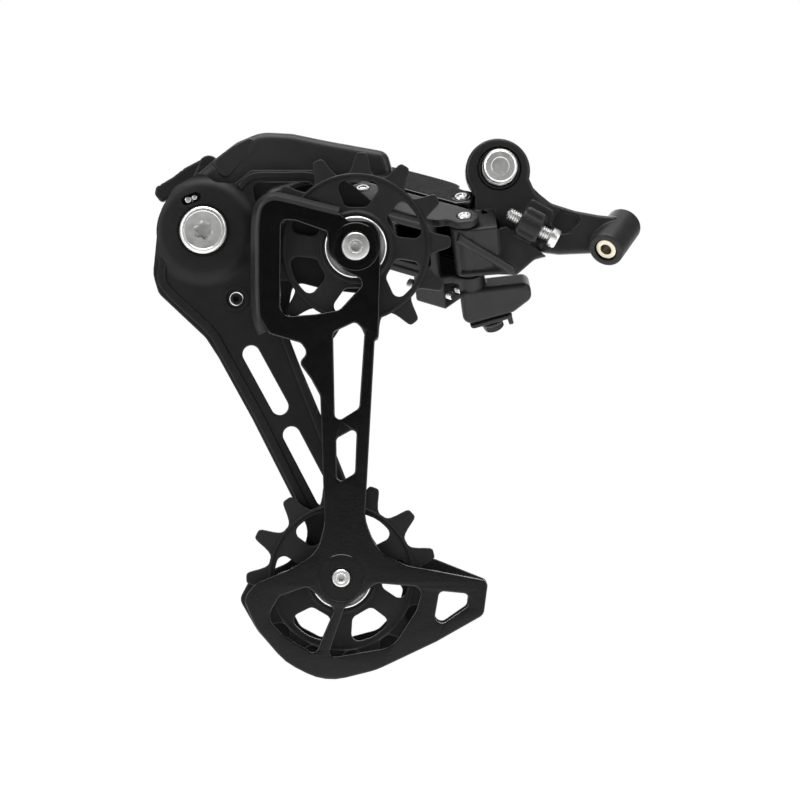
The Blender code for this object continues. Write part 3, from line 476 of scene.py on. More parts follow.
FINISHES = {
    "charcoal": material("charcoal", (0.0068, 0.0068, 0.0072), (0.0122, 0.0122, 0.0126), 0.0, 0.42, 0.22,
    0.4, specular=0.24),
    "gloss_black": material("gloss_black", (0.001, 0.001, 0.001), (0.0024, 0.0024, 0.0023), 0.0, 0.17, 0.6,
    0.12,
                            specular=0.4),
    "satin_black": material("satin_black", (0.0035, 0.0035, 0.0037), (0.0068, 0.0068, 0.0071), 0.0, 0.46,
    0.25, 0.3,
                            specular=0.19),
    "dark_plastic": material("dark_plastic", (0.004, 0.004, 0.0042), (0.0085, 0.0085, 0.009), 0.0, 0.5, 0.2,
    0.35,
                             specular=0.22),
    "silver": material("silver", (0.58, 0.58, 0.57), (0.66, 0.66, 0.65), 1.0, 0.36, 0.4, 0.02, turning=0.18),
    "spring_steel": material("spring_steel", (0.32, 0.31, 0.3), (0.46, 0.45, 0.43), 1.0, 0.34, 0.3, 0.1),
    "brass": material("brass", (0.46, 0.42, 0.33), (0.6, 0.55, 0.44), 1.0, 0.34, 0.2, 0.05, turning=0.2),
    "black_rubber": material("black_rubber", (0.004, 0.004, 0.004), (0.008, 0.008, 0.008), 0.0, 0.75, 0.15,
    0.5,
                             specular=0.25),
}


def show(piece, body, finish, *nodes, sharp=32.0):
    """Finish a piece, hang it on its body and let it stand for CAD nodes."""
    mesh = piece.data
    mesh.materials.clear()
    mesh.materials.append(FINISHES[finish])
    if "soft" not in piece:
        for polygon in mesh.polygons:
            polygon.use_smooth = True
        mesh.set_sharp_from_angle(angle=math.radians(sharp))
        weighted = piece.modifiers.new("flat_faces", "WEIGHTED_NORMAL")
        weighted.keep_sharp = True
        weighted.weight = 80
    piece.name = f"v_{nodes[0]}" if nodes else piece.name
    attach(piece, body)
    if nodes:
        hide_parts(*nodes)
    return piece


# ---------------------------------------------------------------- upper knuckle

def linkage_frame(origin, x_dir):
    return frame_of(origin, x_dir, PIN_AXIS)


def along_pin(pin, low, high, radius, edge=0.4):
    return rod(radius, pin + PIN_AXIS * low, pin + PIN_AXIS * high, edge)


def slots(pins):
    return [along_pin(pin, low, high, 4.8, 0.1) for pin in pins for low,
        high in ((-11.2, -7.75), (7.75, 11.2))]


def holes(pins):
    return [along_pin(pin, -12, 12, 2.2, 0.1) for pin in pins]


def make_mounting_bolt():
    profile = [(0, -8.92), (2.4, -8.92), (2.7, -9.0), (4.2, -9.0), (4.6, -8.8), (4.95, -8.3), (5.0, -7.9),
        (5.0, -7.5)]
    profile += thread(5.0, -7.4, -0.6, 0.85, 0.4)
    profile += [
        (5.0, -0.3), (5.0, 10.3), (7.9, 10.3), (8.2, 10.6), (8.2, 12.6), (7.9, 13.3), (7.3, 13.8),
        (6.4, 14.0),
        (3.9, 14.0), (3.5, 13.6), (0, 13.6),
    ]
    bolt = side_lathe("mounting_bolt", profile, (0, 0), 72)
    cut(bolt, prism_tool(6, 2.9, (0, 0, 0), (0, 1, 0), 11.0, 15.0))
    show(bolt, "mounting_bolt", "silver", "mounting_bolt", sharp=14.0)
    bush = side_lathe("bush", washer(5.3, 6.1, 0.3, 10.0), (0, 0))
    show(bush, "mounting_bolt", "black_rubber", "mounting_bush")


def make_b_knuckle():
    ring_body = side_lathe("ring", drum(9.4, 0, 10, 0.9), (-0.4, -0.7), 96)
    neck = side_plate("neck", rounded([
        (-8.4, -3.6), (-8.0, -5.6, 3), (-7.0, -12.4, 3), (-5.6, -16.5), (-5.0, -21.5, 1.5), (9.0, -23.5, 2),
        (14.5, -20.0, 2), (14.0, -10.6, 3), (10.6, -7.2, 4), (8.8, -3.2),
    ]), 0.0, 10.0, 0.9)
    toe = side_plate("toe", rounded([
        (-5.0, -19.0), (-5.0, -21.5), (-1.0, -25.1), (4.9, -31.1, 1.0), (10.2, -26.5, 3), (13.5, -25.7),
        (9.5, -22.6, 1), (2.0, -17.0),
    ]), -4.0, 2.0, 0.6)
    arm = side_plate("arm", rounded([
        (9.0, -4.6), (11.6, -7.2, 3), (15.0, -10.0, 4), (21.9, -12.2, 5), (29.0, -13.5), (34.0, -14.0),
        (33.5, -22.5),
        (27.0, -24.5, 3), (17.4, -24.9, 3), (10.2, -24.0), (8.0, -15.0),
    ]), 0.5, 6.5, 1.2)
    step = side_plate("step", rounded([
        (9.5, -9.0, 1), (16.0, -12.6, 1), (15.2, -17.2, 1), (12.0, -23.0, 1), (4.0, -23.0, 1),
        (4.0, -15.0, 1),
    ]), -1.2, 3.0, 0.5)
    barrel = rod(5.25, BARREL_NEAR, BARREL_FAR, 0.7, 72)
    web = plate("web", rounded([
        (1.0, 7.7), (1.0, -7.7), (5.0, -7.7, 1.5), (9.0, -1.0, 2.0), (9.0, 7.7),
    ]), -4.2, 16.7, 0.8, frame_of(OUTER_B_PIN, REARWARD, -OUTWARD))
    skirt = side_plate("skirt", [
        (-5.5, -20.0), (-4.6, -29.6), (0.0, -30.9), (4.9, -31.0), (6.0, -24.0),
    ], -4.0, -1.0, 0.5)
    rib_start = INNER_B_PIN - 2.5 * REARWARD - 4.4 * OUTWARD + 6.0 * PIN_AXIS
    rib = rod(1.35, rib_start, (4.0, -3.4, -29.8), 0.5)
    rib_low = rod(0.9, INNER_B_PIN - 2.6 * REARWARD - 4.0 * OUTWARD - 6.2 * PIN_AXIS, (0.6, -3.4, -30.0), 0.4)
    slope = (B_SCREW_HEAD - B_SCREW_TIP).normalized()
    screw_frame = frame_of(B_SCREW_TIP, slope, (0, -1, 0))
    boss = plate("boss", rounded([
        (4.0, -4.6, 1.5), (11.0, -4.6, 1.5), (11.0, 4.6, 1.5), (4.0, 4.6, 1.5),
    ]), -4.4, 3.0, 1.3, screw_frame)
    pins = (OUTER_B_PIN, INNER_B_PIN)
    knuckle = ring_body
    join(knuckle, neck, toe, arm, step, barrel, web, boss, *[along_pin(pin, -7.7, 7.7, 4.2) for pin in pins],
         skirt, rib, rib_low, rod(3.9, B_SCREW_TIP + slope * 4.1, B_SCREW_TIP + slope * 10.9, 0.5))
    along = (BARREL_FAR - BARREL_NEAR).normalized()
    pocket = side_plate("pocket", rounded([
        (16.2, -12.1, 1.2), (17.6, -12.0, 1.2), (22.6, -13.4, 1.5), (23.9, -15.0, 1.5), (20.6, -18.8, 1.6),
        (17.8, -19.3, 1.6),
        (14.6, -16.2, 1.4),
    ]), -2.0, 2.0, 0.4)
    side_pocket = side_plate("side_pocket", rounded([
        (-5.4, -11.6, 0.5), (-1.0, -14.6, 0.5), (0.6, -17.4, 0.8), (-2.2, -17.6, 0.8), (-4.6, -15.6, 0.6),
    ]), -2.0, 1.8, 0.3)
    slit = side_plate("slit", strip([(-9.4, -6.2), (-5.6, -8.6)], 0.35), -1.0, 0.5, 0.05)
    cut(
        knuckle,
        side_lathe("bore", drum(6.3, -8, 20, 0.1), (0, 0), 72),
        side_lathe("recess", drum(8.8, 10.0, 22, 0.1), (0, 0), 72),
        rod(3.4, BARREL_NEAR - along, BARREL_FAR + along, 0.1),
        rod(3.8, BARREL_NEAR + along * 7.0, BARREL_FAR + along, 0.1),
        rod(B_SCREW_BORE, B_SCREW_TIP - slope * 3, B_SCREW_HEAD + slope * 3, 0.1),
        rod(B_SCREW_HEAD_RELIEF, B_SCREW_TIP + slope * 11.0, B_SCREW_HEAD + slope * 3, 0.1),
        pocket, side_pocket, slit, *slots(pins), *holes(pins),
    )
    show(cast(knuckle, 0.2, 4), "b_knuckle", "charcoal", "b_knuckle")

    ferrule = lathe("ferrule", [
        (1.4, 1.2), (1.7, 0.5), (2.5, 0.4), (3.0, 0.6), (3.1, 1.0), (3.1, 6.3), (2.9, 6.4), (1.5, 6.4),
        (1.4, 6.2),
    ], BARREL_NEAR, along, 56)
    show(ferrule, "b_knuckle", "brass", "cable_ferrule")

    length = (B_SCREW_HEAD - B_SCREW_TIP).length
    profile = [(0, 0.1), (1.3, 0.1), (1.5, 0.3)] + thread(1.95, 0.5, length - 0.2, 0.7, 0.32)
    profile += [(2.6, length), (2.8, length + 0.2), (2.8, length + 1.9), (2.5, length + 2.4),
        (1.9, length + 2.4)]
    profile += [(1.7, length + 2.2), (0, length + 2.2)]
    screw = lathe("b_screw", profile, B_SCREW_TIP, slope, 48)
    cut(screw, prism_tool(6, 1.6, B_SCREW_TIP, slope, length + 1.0, length + 3.0))
    show(screw, "b_screw", "silver", "b_tension_screw")


def make_pins():
    places = {
        "outer_link_b_pin": (OUTER_B_PIN, "b_knuckle"), "inner_link_b_pin": (INNER_B_PIN, "b_knuckle"),
        "outer_link_p_pin": (OUTER_P_PIN, "p_knuckle"), "inner_link_p_pin": (INNER_P_PIN, "p_knuckle"),
    }
    for name, (pin, body) in places.items():
        ends = [(0, -10.4), (0.9, -10.4), (1.2, -10.8), (1.7, -10.8), (2.0, -10.5)]
        profile = ends + [(radius, -height) for radius, height in ends[::-1]]
        show(lathe(name, profile, pin, PIN_AXIS, 40), body, "silver", name)


# ---------------------------------------------------------------- links

def link_outline(side):
    wide = -6.6 * side
    waist = -4.4 * side
    outline = arc((LINK_LENGTH, 0), 4.2, -90 * side, 90 * side, 24)
    outline += arc((0, 0), 4.2, 90 * side, 270 * side, 24)
    middle = smooth_path([(1.0, -4.2 * side), (3.5, waist), (8.0, wide), (30.0, wide),
        (LINK_LENGTH - 3.5, waist),
                          (LINK_LENGTH - 1.0, -4.2 * side)], 5)
    return outline + middle[1:-1]


def make_outer_link():
    place = linkage_frame(OUTER_B_PIN, LINK_DIR)
    link = plate("outer_link", link_outline(1), 8.0, 10.5, 0.6, place)
    lower = plate("lower", link_outline(1), -10.5, -8.0, 0.6, place)
    web = box((6.6, -6.5, -10.2), (31.4, -5.0, 10.2), 0.5, place)
    join(link, web, lower)
    cut(link, *holes((OUTER_B_PIN, OUTER_P_PIN)))
    show(cast(link, 0.22, 4), "outer_link", "gloss_black", "outer_link")


LUG_SIDE = (-4.5, 3.5)


def limit_lines():
    lines = {}
    for name, offset in (("high", -0.9), ("low", 3.4)):
        lines[name] = INNER_B_PIN - PIN_AXIS * 15.5 + PIN_AXIS.cross(LINK_DIR) * offset
    return lines


def clamp_place():
    slope = math.radians(10.3)
    along = math.cos(slope) * REARWARD + math.sin(slope) * PIN_AXIS
    down = math.sin(slope) * REARWARD - math.cos(slope) * PIN_AXIS
    middle = (LUG_SIDE[0] + LUG_SIDE[1]) / 2
    origin = INNER_B_PIN + REARWARD * 4.5 + OUTWARD * middle - PIN_AXIS * 22.0
    return frame_of(origin, along, down), origin, down


def make_inner_link():
    place = linkage_frame(INNER_B_PIN, LINK_DIR)
    link = plate("inner_link", link_outline(-1), 8.0, 10.5, 0.6, place)
    lower = plate("lower", link_outline(-1), -10.5, -8.0, 0.6, place)
    web = box((6.6, 5.0, -10.2), (31.4, 6.5, 10.2), 0.5, place)
    window = plate("window", rounded([(9.0, -6.0, 2), (28.0, -6.0, 2), (28.0, 6.0, 2), (9.0, 6.0, 2)]), 4.0,
        8.0, 0.1,
                   frame_of(INNER_B_PIN, LINK_DIR, PIN_AXIS.cross(LINK_DIR)))
    neck = along_pin(INNER_B_PIN, -12.5, -8.0, 4.2, 0.2)
    lug = plate("lug", rounded([
        (-3.5, -11.8, 2.0), (17.0, -11.8, 2.5), (17.0, -17.0, 2.5), (11.4, -20.8, 1.5), (-3.5, -23.4, 2.5),
    ]), -LUG_SIDE[1], -LUG_SIDE[0], 1.3, frame_of(INNER_B_PIN, REARWARD, -OUTWARD))
    limit_block = box((6.0, -3.5, -19.5), (17.0, 5.5, -10.0), 0.8, place)
    join(link, web, lower, neck, lug, limit_block)
    clamp, origin, down = clamp_place()
    bores = [rod(1.5, base + LINK_DIR * 2, base + LINK_DIR * 24, 0.1) for base in limit_lines().values()]
    cut(link, window, rod(2.2, origin - down * 7, origin + down * 3, 0.1), *bores,
        *holes((INNER_B_PIN, INNER_P_PIN)))
    show(cast(link, 0.22, 4), "inner_link", "charcoal", "inner_link")
    for name, base in limit_lines().items():
        profile = [(0, 4.6), (0.9, 4.6)] + thread(1.2, 4.9, 18.6, 0.5, 0.2)
        profile += [(1.6, 18.8), (1.8, 19.0), (1.8, 20.5), (1.5, 20.8), (1.1, 20.8), (0, 20.6)]
        screw = lathe(name, profile, base, LINK_DIR, 36)
        cut(screw, prism_tool(6, 0.95, base, LINK_DIR, 19.6, 22.0))
        show(screw, f"{name}_limit", "silver", f"{name}_limit_screw")
    washer_plate = plate("clamp", rounded([
        (-6.3, -3.8, 1.4), (6.3, -3.8, 1.4), (6.3, 3.8, 1.4), (-6.3, 3.8, 1.4),
    ]), 0.3, 1.6, 0.35, clamp)
    tab = plate("tab", rounded([(1.4, -2.0), (4.9, -2.0, 1.2), (4.9, 2.0, 1.2), (1.4, 2.0)]), 4.6, 6.0, 0.35,
                frame_of(origin, down, clamp.to_3x3() @ Vector((1, 0, 0))))
    join(washer_plate, tab)
    cut(washer_plate, rod(2.2, origin - down * 1.5, origin + down * 3, 0.1))
    show(cast(washer_plate, 0.14, 2), "inner_link", "charcoal", "cable_clamp_plate")
    profile = [(0, -6.0), (1.6, -6.0)] + thread(1.9, -5.7, 1.6, 0.7, 0.3)
    profile += [(3.4, 1.9), (3.6, 2.1), (3.6, 2.6), (3.4, 2.9), (1.0, 2.9), (0, 2.9)]
    bolt = lathe("clamp_bolt", profile, origin, down, 40)
    head = prism_tool(6, 3.1, origin, down, 2.6, 5.1)
    crown = lathe("crown", [(0, 2.5), (3.4, 2.5), (3.4, 4.4), (2.5, 5.1), (0, 5.1)], origin, down, 48)
    join(bolt, keep_common(head, crown))
    cut(bolt, prism_tool(6, 1.4, origin, down, 3.4, 6.0))
    show(bolt, "inner_link", "charcoal", "cable_clamp_bolt")


# ---------------------------------------------------------------- lower knuckle

COVER_SCREWS = [polar(P_AXLE, 13.4, angle) for angle in (25.0, 195.0, 290.0)]


def ears(y_from, y_to, edge):
    return [side_lathe("ear", drum(2.6, y_from, y_to, edge), place, 40) for place in COVER_SCREWS]


def make_p_knuckle():
    knuckle = side_lathe("housing", drum(14.0, HOUSING[0], HOUSING[1], 0.9), P_AXLE, 112)
    hump = side_plate("hump", rounded([
        (-94.2, -9.0), (-89.5, -3.6, 6), (-81.9, 2.9, 8), (-76.0, 7.4, 6), (-69.0, 10.4, 12),
        (-60.0, 9.9, 12),
        (-49.2, 7.7, 14), (-32.5, 4.7, 3.4), (-30.3, -3.0, 2.5), (-45.0, -4.0), (-56.0, -4.0),
        (-66.0, -7.0, 4),
        (-72.0, -14.0, 4), (-80.0, -18.0),
    ]), -4.0, 10.0, 2.6)
    crease = side_plate("crease", rounded([
        (-83.0, 1.4, 1), (-77.0, 6.2, 3), (-70.0, 9.6, 5), (-72.6, 4.0, 3), (-79.4, -4.2, 2),
    ]), -4.5, -1.0, 0.4)
    bridge = side_plate("bridge", rounded([
        (-76.0, 7.0), (-66.0, 9.8, 3), (-50.0, 6.6, 3), (-46.0, 3.5, 2), (-46.0, -18.0, 3), (-54.0, -19.5, 3),
        (-64.0, -10.0, 4), (-78.0, -10.0),
    ]), 6.0, 38.0, 1.6)
    plan = plate("plan", rounded([
        (-79.0, 4.0), (-45.0, 4.0), (-45.0, 36.0, 4), (-55.0, 34.0, 4), (-71.0, 20.0, 4), (-79.0, 18.0),
    ]), -24.0, 14.0, 0.3, frame_of((0, 0, 0), (1, 0, 0), (0, 0, 1)))
    keep_common(bridge, plan)
    web = box((-9.0, -16.7, -7.7), (-1.0, 4.2, 7.7), 0.8, linkage_frame(OUTER_P_PIN, REARWARD))
    pins = (OUTER_P_PIN, INNER_P_PIN)
    boss = side_lathe("boss", drum(3.1, 9.0, HOUSING[1], 0.4), SWITCH_PIVOT, 48)
    boss_web = side_plate("boss_web", rounded([
        (-93.0, -9.0), (-87.9, 1.8, 1.5), (-81.0, 3.0, 1.5), (-76.0, -8.0),
    ]), 9.0, HOUSING[1], 0.6)
    lug = side_plate("stop_lug", rounded([
        polar(P_AXLE, 12.5, -59.0), (*polar(P_AXLE, 24.3, -58.6), 0.8), (*polar(P_AXLE, 24.3, -49.0), 0.8),
        polar(P_AXLE, 12.5, -44.0),
    ]), HOUSING[0], -0.5, 0.3)
    join(knuckle, hump, bridge, web, boss_web, boss, lug, *[along_pin(pin, -7.7, 7.7, 4.2) for pin in pins],
         *ears(14.0, HOUSING[1], 0.5), crease)
    cover_holes = [
        side_lathe("hole", drum(1.2, 16.0, 21.0, 0.1), place, 20) for place in COVER_SCREWS
    ]
    cut(
        knuckle,
        side_lathe("spring_cavity", drum(11.6, -5.0, 9.0, 0.3), P_AXLE, 72),
        side_lathe("axle_bore", drum(5.6, 8.0, 13.0, 0.1), P_AXLE, 48),
        side_lathe("clutch_cavity", drum(12.0, 12.0, 21.0, 0.3), P_AXLE, 72),
        box((-87.7, 13.0, -9.0), (-81.9, 17.0, 3.6), 0.2),
        side_lathe("switch_bore", drum(1.5, 11.5, 21.0, 0.1), SWITCH_PIVOT, 24),
        along_pin(INNER_P_PIN, -7.0, 2.0, 5.4, 0.1),
        *cover_holes, *slots(pins), *holes(pins),
    )
    show(cast(knuckle, 0.26, 5), "p_knuckle", "charcoal", "p_knuckle")


def make_clutch_cover():
    gasket = side_lathe("gasket", washer(12.3, 14.0, 20.3, 20.9, 0.15), P_AXLE, 96)
    join(gasket, *ears(20.3, 20.9, 0.15))
    cut(gasket, *[side_lathe("hole", drum(1.2, 19.0, 22.0, 0.1), place, 20) for place in COVER_SCREWS])
    show(gasket, "p_knuckle", "black_rubber", "cover_gasket")
    low = HOUSING[1] + 1.2
    profile = [
        (0, low + 2.6), (11.0, low + 2.6), (11.4, low + 2.2), (11.4, low), (13.6, low), (14.0, low + 0.4),
        (13.8, low + 2.2), (13.2, low + 3.2), (12.2, low + 3.7), (10.8, low + 3.9), (9.4, low + 4.0),
        (9.0, low + 3.6),
        (8.6, low + 3.6), (8.2, low + 4.0), (4.0, low + 4.0), (0, low + 3.95),
    ]
    cover = side_lathe("cover", profile, P_AXLE, 96)
    join(cover, *ears(low, low + 3.0, 0.6))
    cut(
        cover,
        *[side_lathe("hole", drum(1.2, low - 1, low + 6, 0.1), place, 20) for place in COVER_SCREWS],
        *[side_lathe("seat", drum(1.9, low + 2.4, low + 6, 0.1), place, 28) for place in COVER_SCREWS],
    )
    show(cast(cover, 0.16, 2), "p_knuckle", "gloss_black", "clutch_cover")
    for index, place in enumerate(COVER_SCREWS):
        profile = [(0, 16.8), (0.7, 16.8)] + thread(0.9, 17.0, low + 2.5, 0.45, 0.15)
        profile += [(1.4, low + 2.7), (1.5, low + 2.9), (1.45, low + 3.5), (1.0, low + 4.0), (0, low + 4.1)]
        screw = side_lathe("cover_screw", profile, place, 32)
        cross = [box((-0.22, -1.0, low + 3.3), (0.22, 1.0, low + 5), 0.02,
                     frame_of((place[0], 0, place[1]), (math.cos(angle), 0, math.sin(angle)), (0, 1, 0)))
                 for angle in (0.4, 0.4 + math.pi / 2)]
        cut(screw, *cross)
        show(screw, "p_knuckle", "silver", f"cover_screw_{index + 1}")


def make_switch():
    lever = side_plate("lever", rounded([
        (-82.6, 4.3, 2), (-87.0, 4.6, 3), (-92.8, 1.6, 6), (-96.2, -1.1, 5), (-101.2, -4.0, 1.2),
        (-101.6, -6.2, 1.2),
        (-99.6, -8.8, 1.2), (-89.8, -2.3, 4), (-82.2, -1.6, 2),
    ]), 20.4, 24.4, 0.7)
    ridges = []
    for index in range(6):
        t = index / 5
        point = Vector((-100.2, -3.1)).lerp(Vector((-93.6, 1.35)), t)
        ridges.append(rod(0.5, (point[0], 19.0, point[1]), (point[0], 26.0, point[1]), 0.1, 16))
    shaft = side_lathe("shaft", drum(1.2, 12.0, 21.0, 0.15), SWITCH_PIVOT, 32)
    cap = side_lathe("cap", drum(2.2, 24.0, 24.8, 0.25), SWITCH_PIVOT, 40)
    join(lever, shaft, cap)
    cut(lever, *ridges)
    show(cast(lever, 0.15, 2), "switch", "dark_plastic", "switch_lever")


# ---------------------------------------------------------------- cage plates

def guard_windows():
    left = rounded([
        (-66.5, -129.0, 4), (-63.0, -123.0, 2.5), (-55.2, -120.3, 2), (-47.4, -126.6, 1.5),
        (-53.0, -139.6, 1.5),
        (-62.0, -134.0, 5),
    ])
    right = rounded([
        (-44.6, -126.4, 1.5), (-35.5, -119.3, 3), (-22.3, -120.4, 2.2), (-24.3, -127.0, 4),
        (-31.0, -137.5, 8),
        (-49.4, -140.5, 1.5),
    ])
    tail = rounded([(-17.6, -121.5, 1.5), (-9.2, -122.3, 1.5), (-9.6, -126.0, 1.5), (-19.6, -133.0, 2)])
    return left, right, tail


def backing_windows():
    """The outer plate's guard windows, kept clear of the tension pulley's tooth gaps."""
    left = rounded([
        (-63.0, -121.5, 2), (-55.2, -120.3, 2), (-47.4, -126.6, 1.5), (-50.6, -135.9, 1.5),
        (-57.5, -132.3, 4),
    ])
    right = rounded([
        (-44.6, -126.4, 1.5), (-35.5, -119.3, 3), (-27.6, -120.3, 2), (-29.3, -127.0, 4), (-35.0, -133.2, 5),
        (-47.4, -136.5, 1.5),
    ])
    return left, right, guard_windows()[2]


def slanted_slot(start, end, width):
    heading = math.degrees(math.atan2(end[1] - start[1], end[0] - start[0]))
    half = width / 2
    return arc(end, half, heading - 90, heading + 90, 16) + arc(start, half, heading + 90, heading + 270, 16)


def bead(path, width, y_from, y_to, edge=0.55):
    return side_plate("bead", strip(smooth_path(path, 8), width), y_from, y_to, edge)


def make_outer_plate():
    outline = rounded([
        (-93.5, -5.8, 3), (-97.4, -12.4, 6), (-98.6, -20.0, 8), (-99.9, -31.0, 8), (-98.2, -36.6, 4),
        (-84.7, -49.3, 6), (-81.0, -55.0, 8), (-71.2, -72.8), (-60.1, -94.7), (-54.0, -106.5, 8),
        (-61.0, -114.0, 6),
        (-72.0, -118.8, 5), (-75.0, -124.5, 3), (-69.6, -134.0, 15), (-61.5, -142.0, 16), (-50.0, -147.3, 16),
        (-36.0, -144.6, 12), (-19.0, -136.6), (-5.4, -129.0, 2.5), (-3.5, -119.0, 2), (-19.0, -112.8, 3),
        (-33.0, -112.4, 5), (-38.0, -105.0, 8), (-40.5, -98.5, 8), (-44.5, -89.5), (-51.8, -71.0),
        (-60.6, -50.1, 6),
        (-60.8, -40.5, 3), (-59.5, -33.0, 3), (-50.0, -35.5, 3), (-38.0, -36.8, 7), (-29.6, -27.5, 8),
        (-31.0, -14.5, 8), (-38.0, -9.0, 6), (-44.0, -4.0, 7), (-54.0, -1.0, 4), (-71.7, -1.0, 3),
        (-76.5, -5.0, 3),
        (-82.0, -4.6, 3), (-86.0, -1.6, 3),
    ])
    arm_window = rounded([
        (-71.4, -4.6, 1.8), (-55.0, -4.4, 2.5), (-49.0, -9.5, 2.5), (-52.5, -13.0, 2), (-66.0, -14.0, 3),
        (-70.0, -11.5, 3),
    ])
    openings = [
        arm_window, slanted_slot((-71.6, -54.0), (-63.4, -69.0), 5.0),
        slanted_slot((-60.0, -77.3), (-50.6, -95.2), 5.0),
        *backing_windows(),
    ]
    piece = side_plate("outer_plate", outline, *OUTER_PLATE, 0.5, openings)
    left_bead = bead([
        (-95.2, -16.0), (-96.4, -24.0), (-97.4, -31.6), (-95.6, -35.6), (-89.4, -41.6), (-82.9, -47.8),
        (-79.0, -54.4),
        (-69.3, -72.0), (-58.3, -93.8), (-54.6, -101.0),
    ], 2.6, -8.35, -7.0)
    right_bead = bead([
        (-62.4, -48.0), (-54.0, -70.0), (-46.6, -88.4), (-42.6, -97.4), (-40.8, -102.6),
    ], 2.4, -8.25, -7.0)
    top_bead = bead([(-75.0, -6.2), (-71.0, -2.9), (-62.0, -2.6), (-54.6, -2.7), (-47.6, -5.2)], 2.0, -8.2,
        -7.0)
    dome = side_lathe("dome", [
        (0, -7.0), (16.4, -7.0), (16.4, -7.6), (15.6, -7.7), (14.9, -7.95), (14.2, -8.4), (13.5, -8.85),
        (12.6, -9.2),
        (11.4, -9.4), (7.5, -9.48), (7.3, -9.25), (0, -9.25),
    ], P_AXLE, 112)
    trimmed = keep_common(dome, side_plate("trim", outline, -12.0, -4.0, 0.3))
    pad = side_lathe("pad", [(0, -7), (3.9, -7), (3.7, -7.85), (2.9, -7.85), (2.75, -7.7), (0, -7.7)],
        STOP_PIN, 48)
    join(piece, left_bead, right_bead, top_bead, trimmed, pad)
    spring_end = polar(P_AXLE, 9.7, 112.0)
    slot_a = polar(P_AXLE, 9.9, 120.0)
    slot_b = polar(P_AXLE, 9.9, 102.0)
    cut(
        piece,
        side_lathe("h", drum(3.3, -14, 0, 0.1), P_AXLE, 40),
        side_lathe("h", drum(2.0, -14, 0, 0.1), STOP_PIN, 40),
        side_lathe("h", drum(2.75, -14, -7.3, 0.1), STOP_PIN, 40),
        side_lathe("h", drum(PULLEY_BOLT_HOLE, -14, 0, 0.1), GUIDE, 40),
        side_lathe("h", drum(PULLEY_BOLT_HOLE, -14, 0, 0.1), TENSION, 40),
        side_plate("h", slanted_slot(slot_a, slot_b, 2.7), -14, -6.8, 0.1),
        side_lathe("h", drum(1.3, -14, 0, 0.1), spring_end, 24),
    )
    show(piece, "cage", "satin_black", "outer_cage_plate")
    spring_tip = side_lathe("spring_tip", drum(0.95, -8.9, -5.9, 0.25), polar(P_AXLE, 9.8, 117.0), 24)
    show(spring_tip, "cage", "silver").name = "v_spring_tip"
    catch = side_lathe("spring_catch", drum(0.8, -8.7, -5.9, 0.25), polar(P_AXLE, 9.8, 105.5), 24)
    show(catch, "cage", "silver").name = "v_spring_catch"


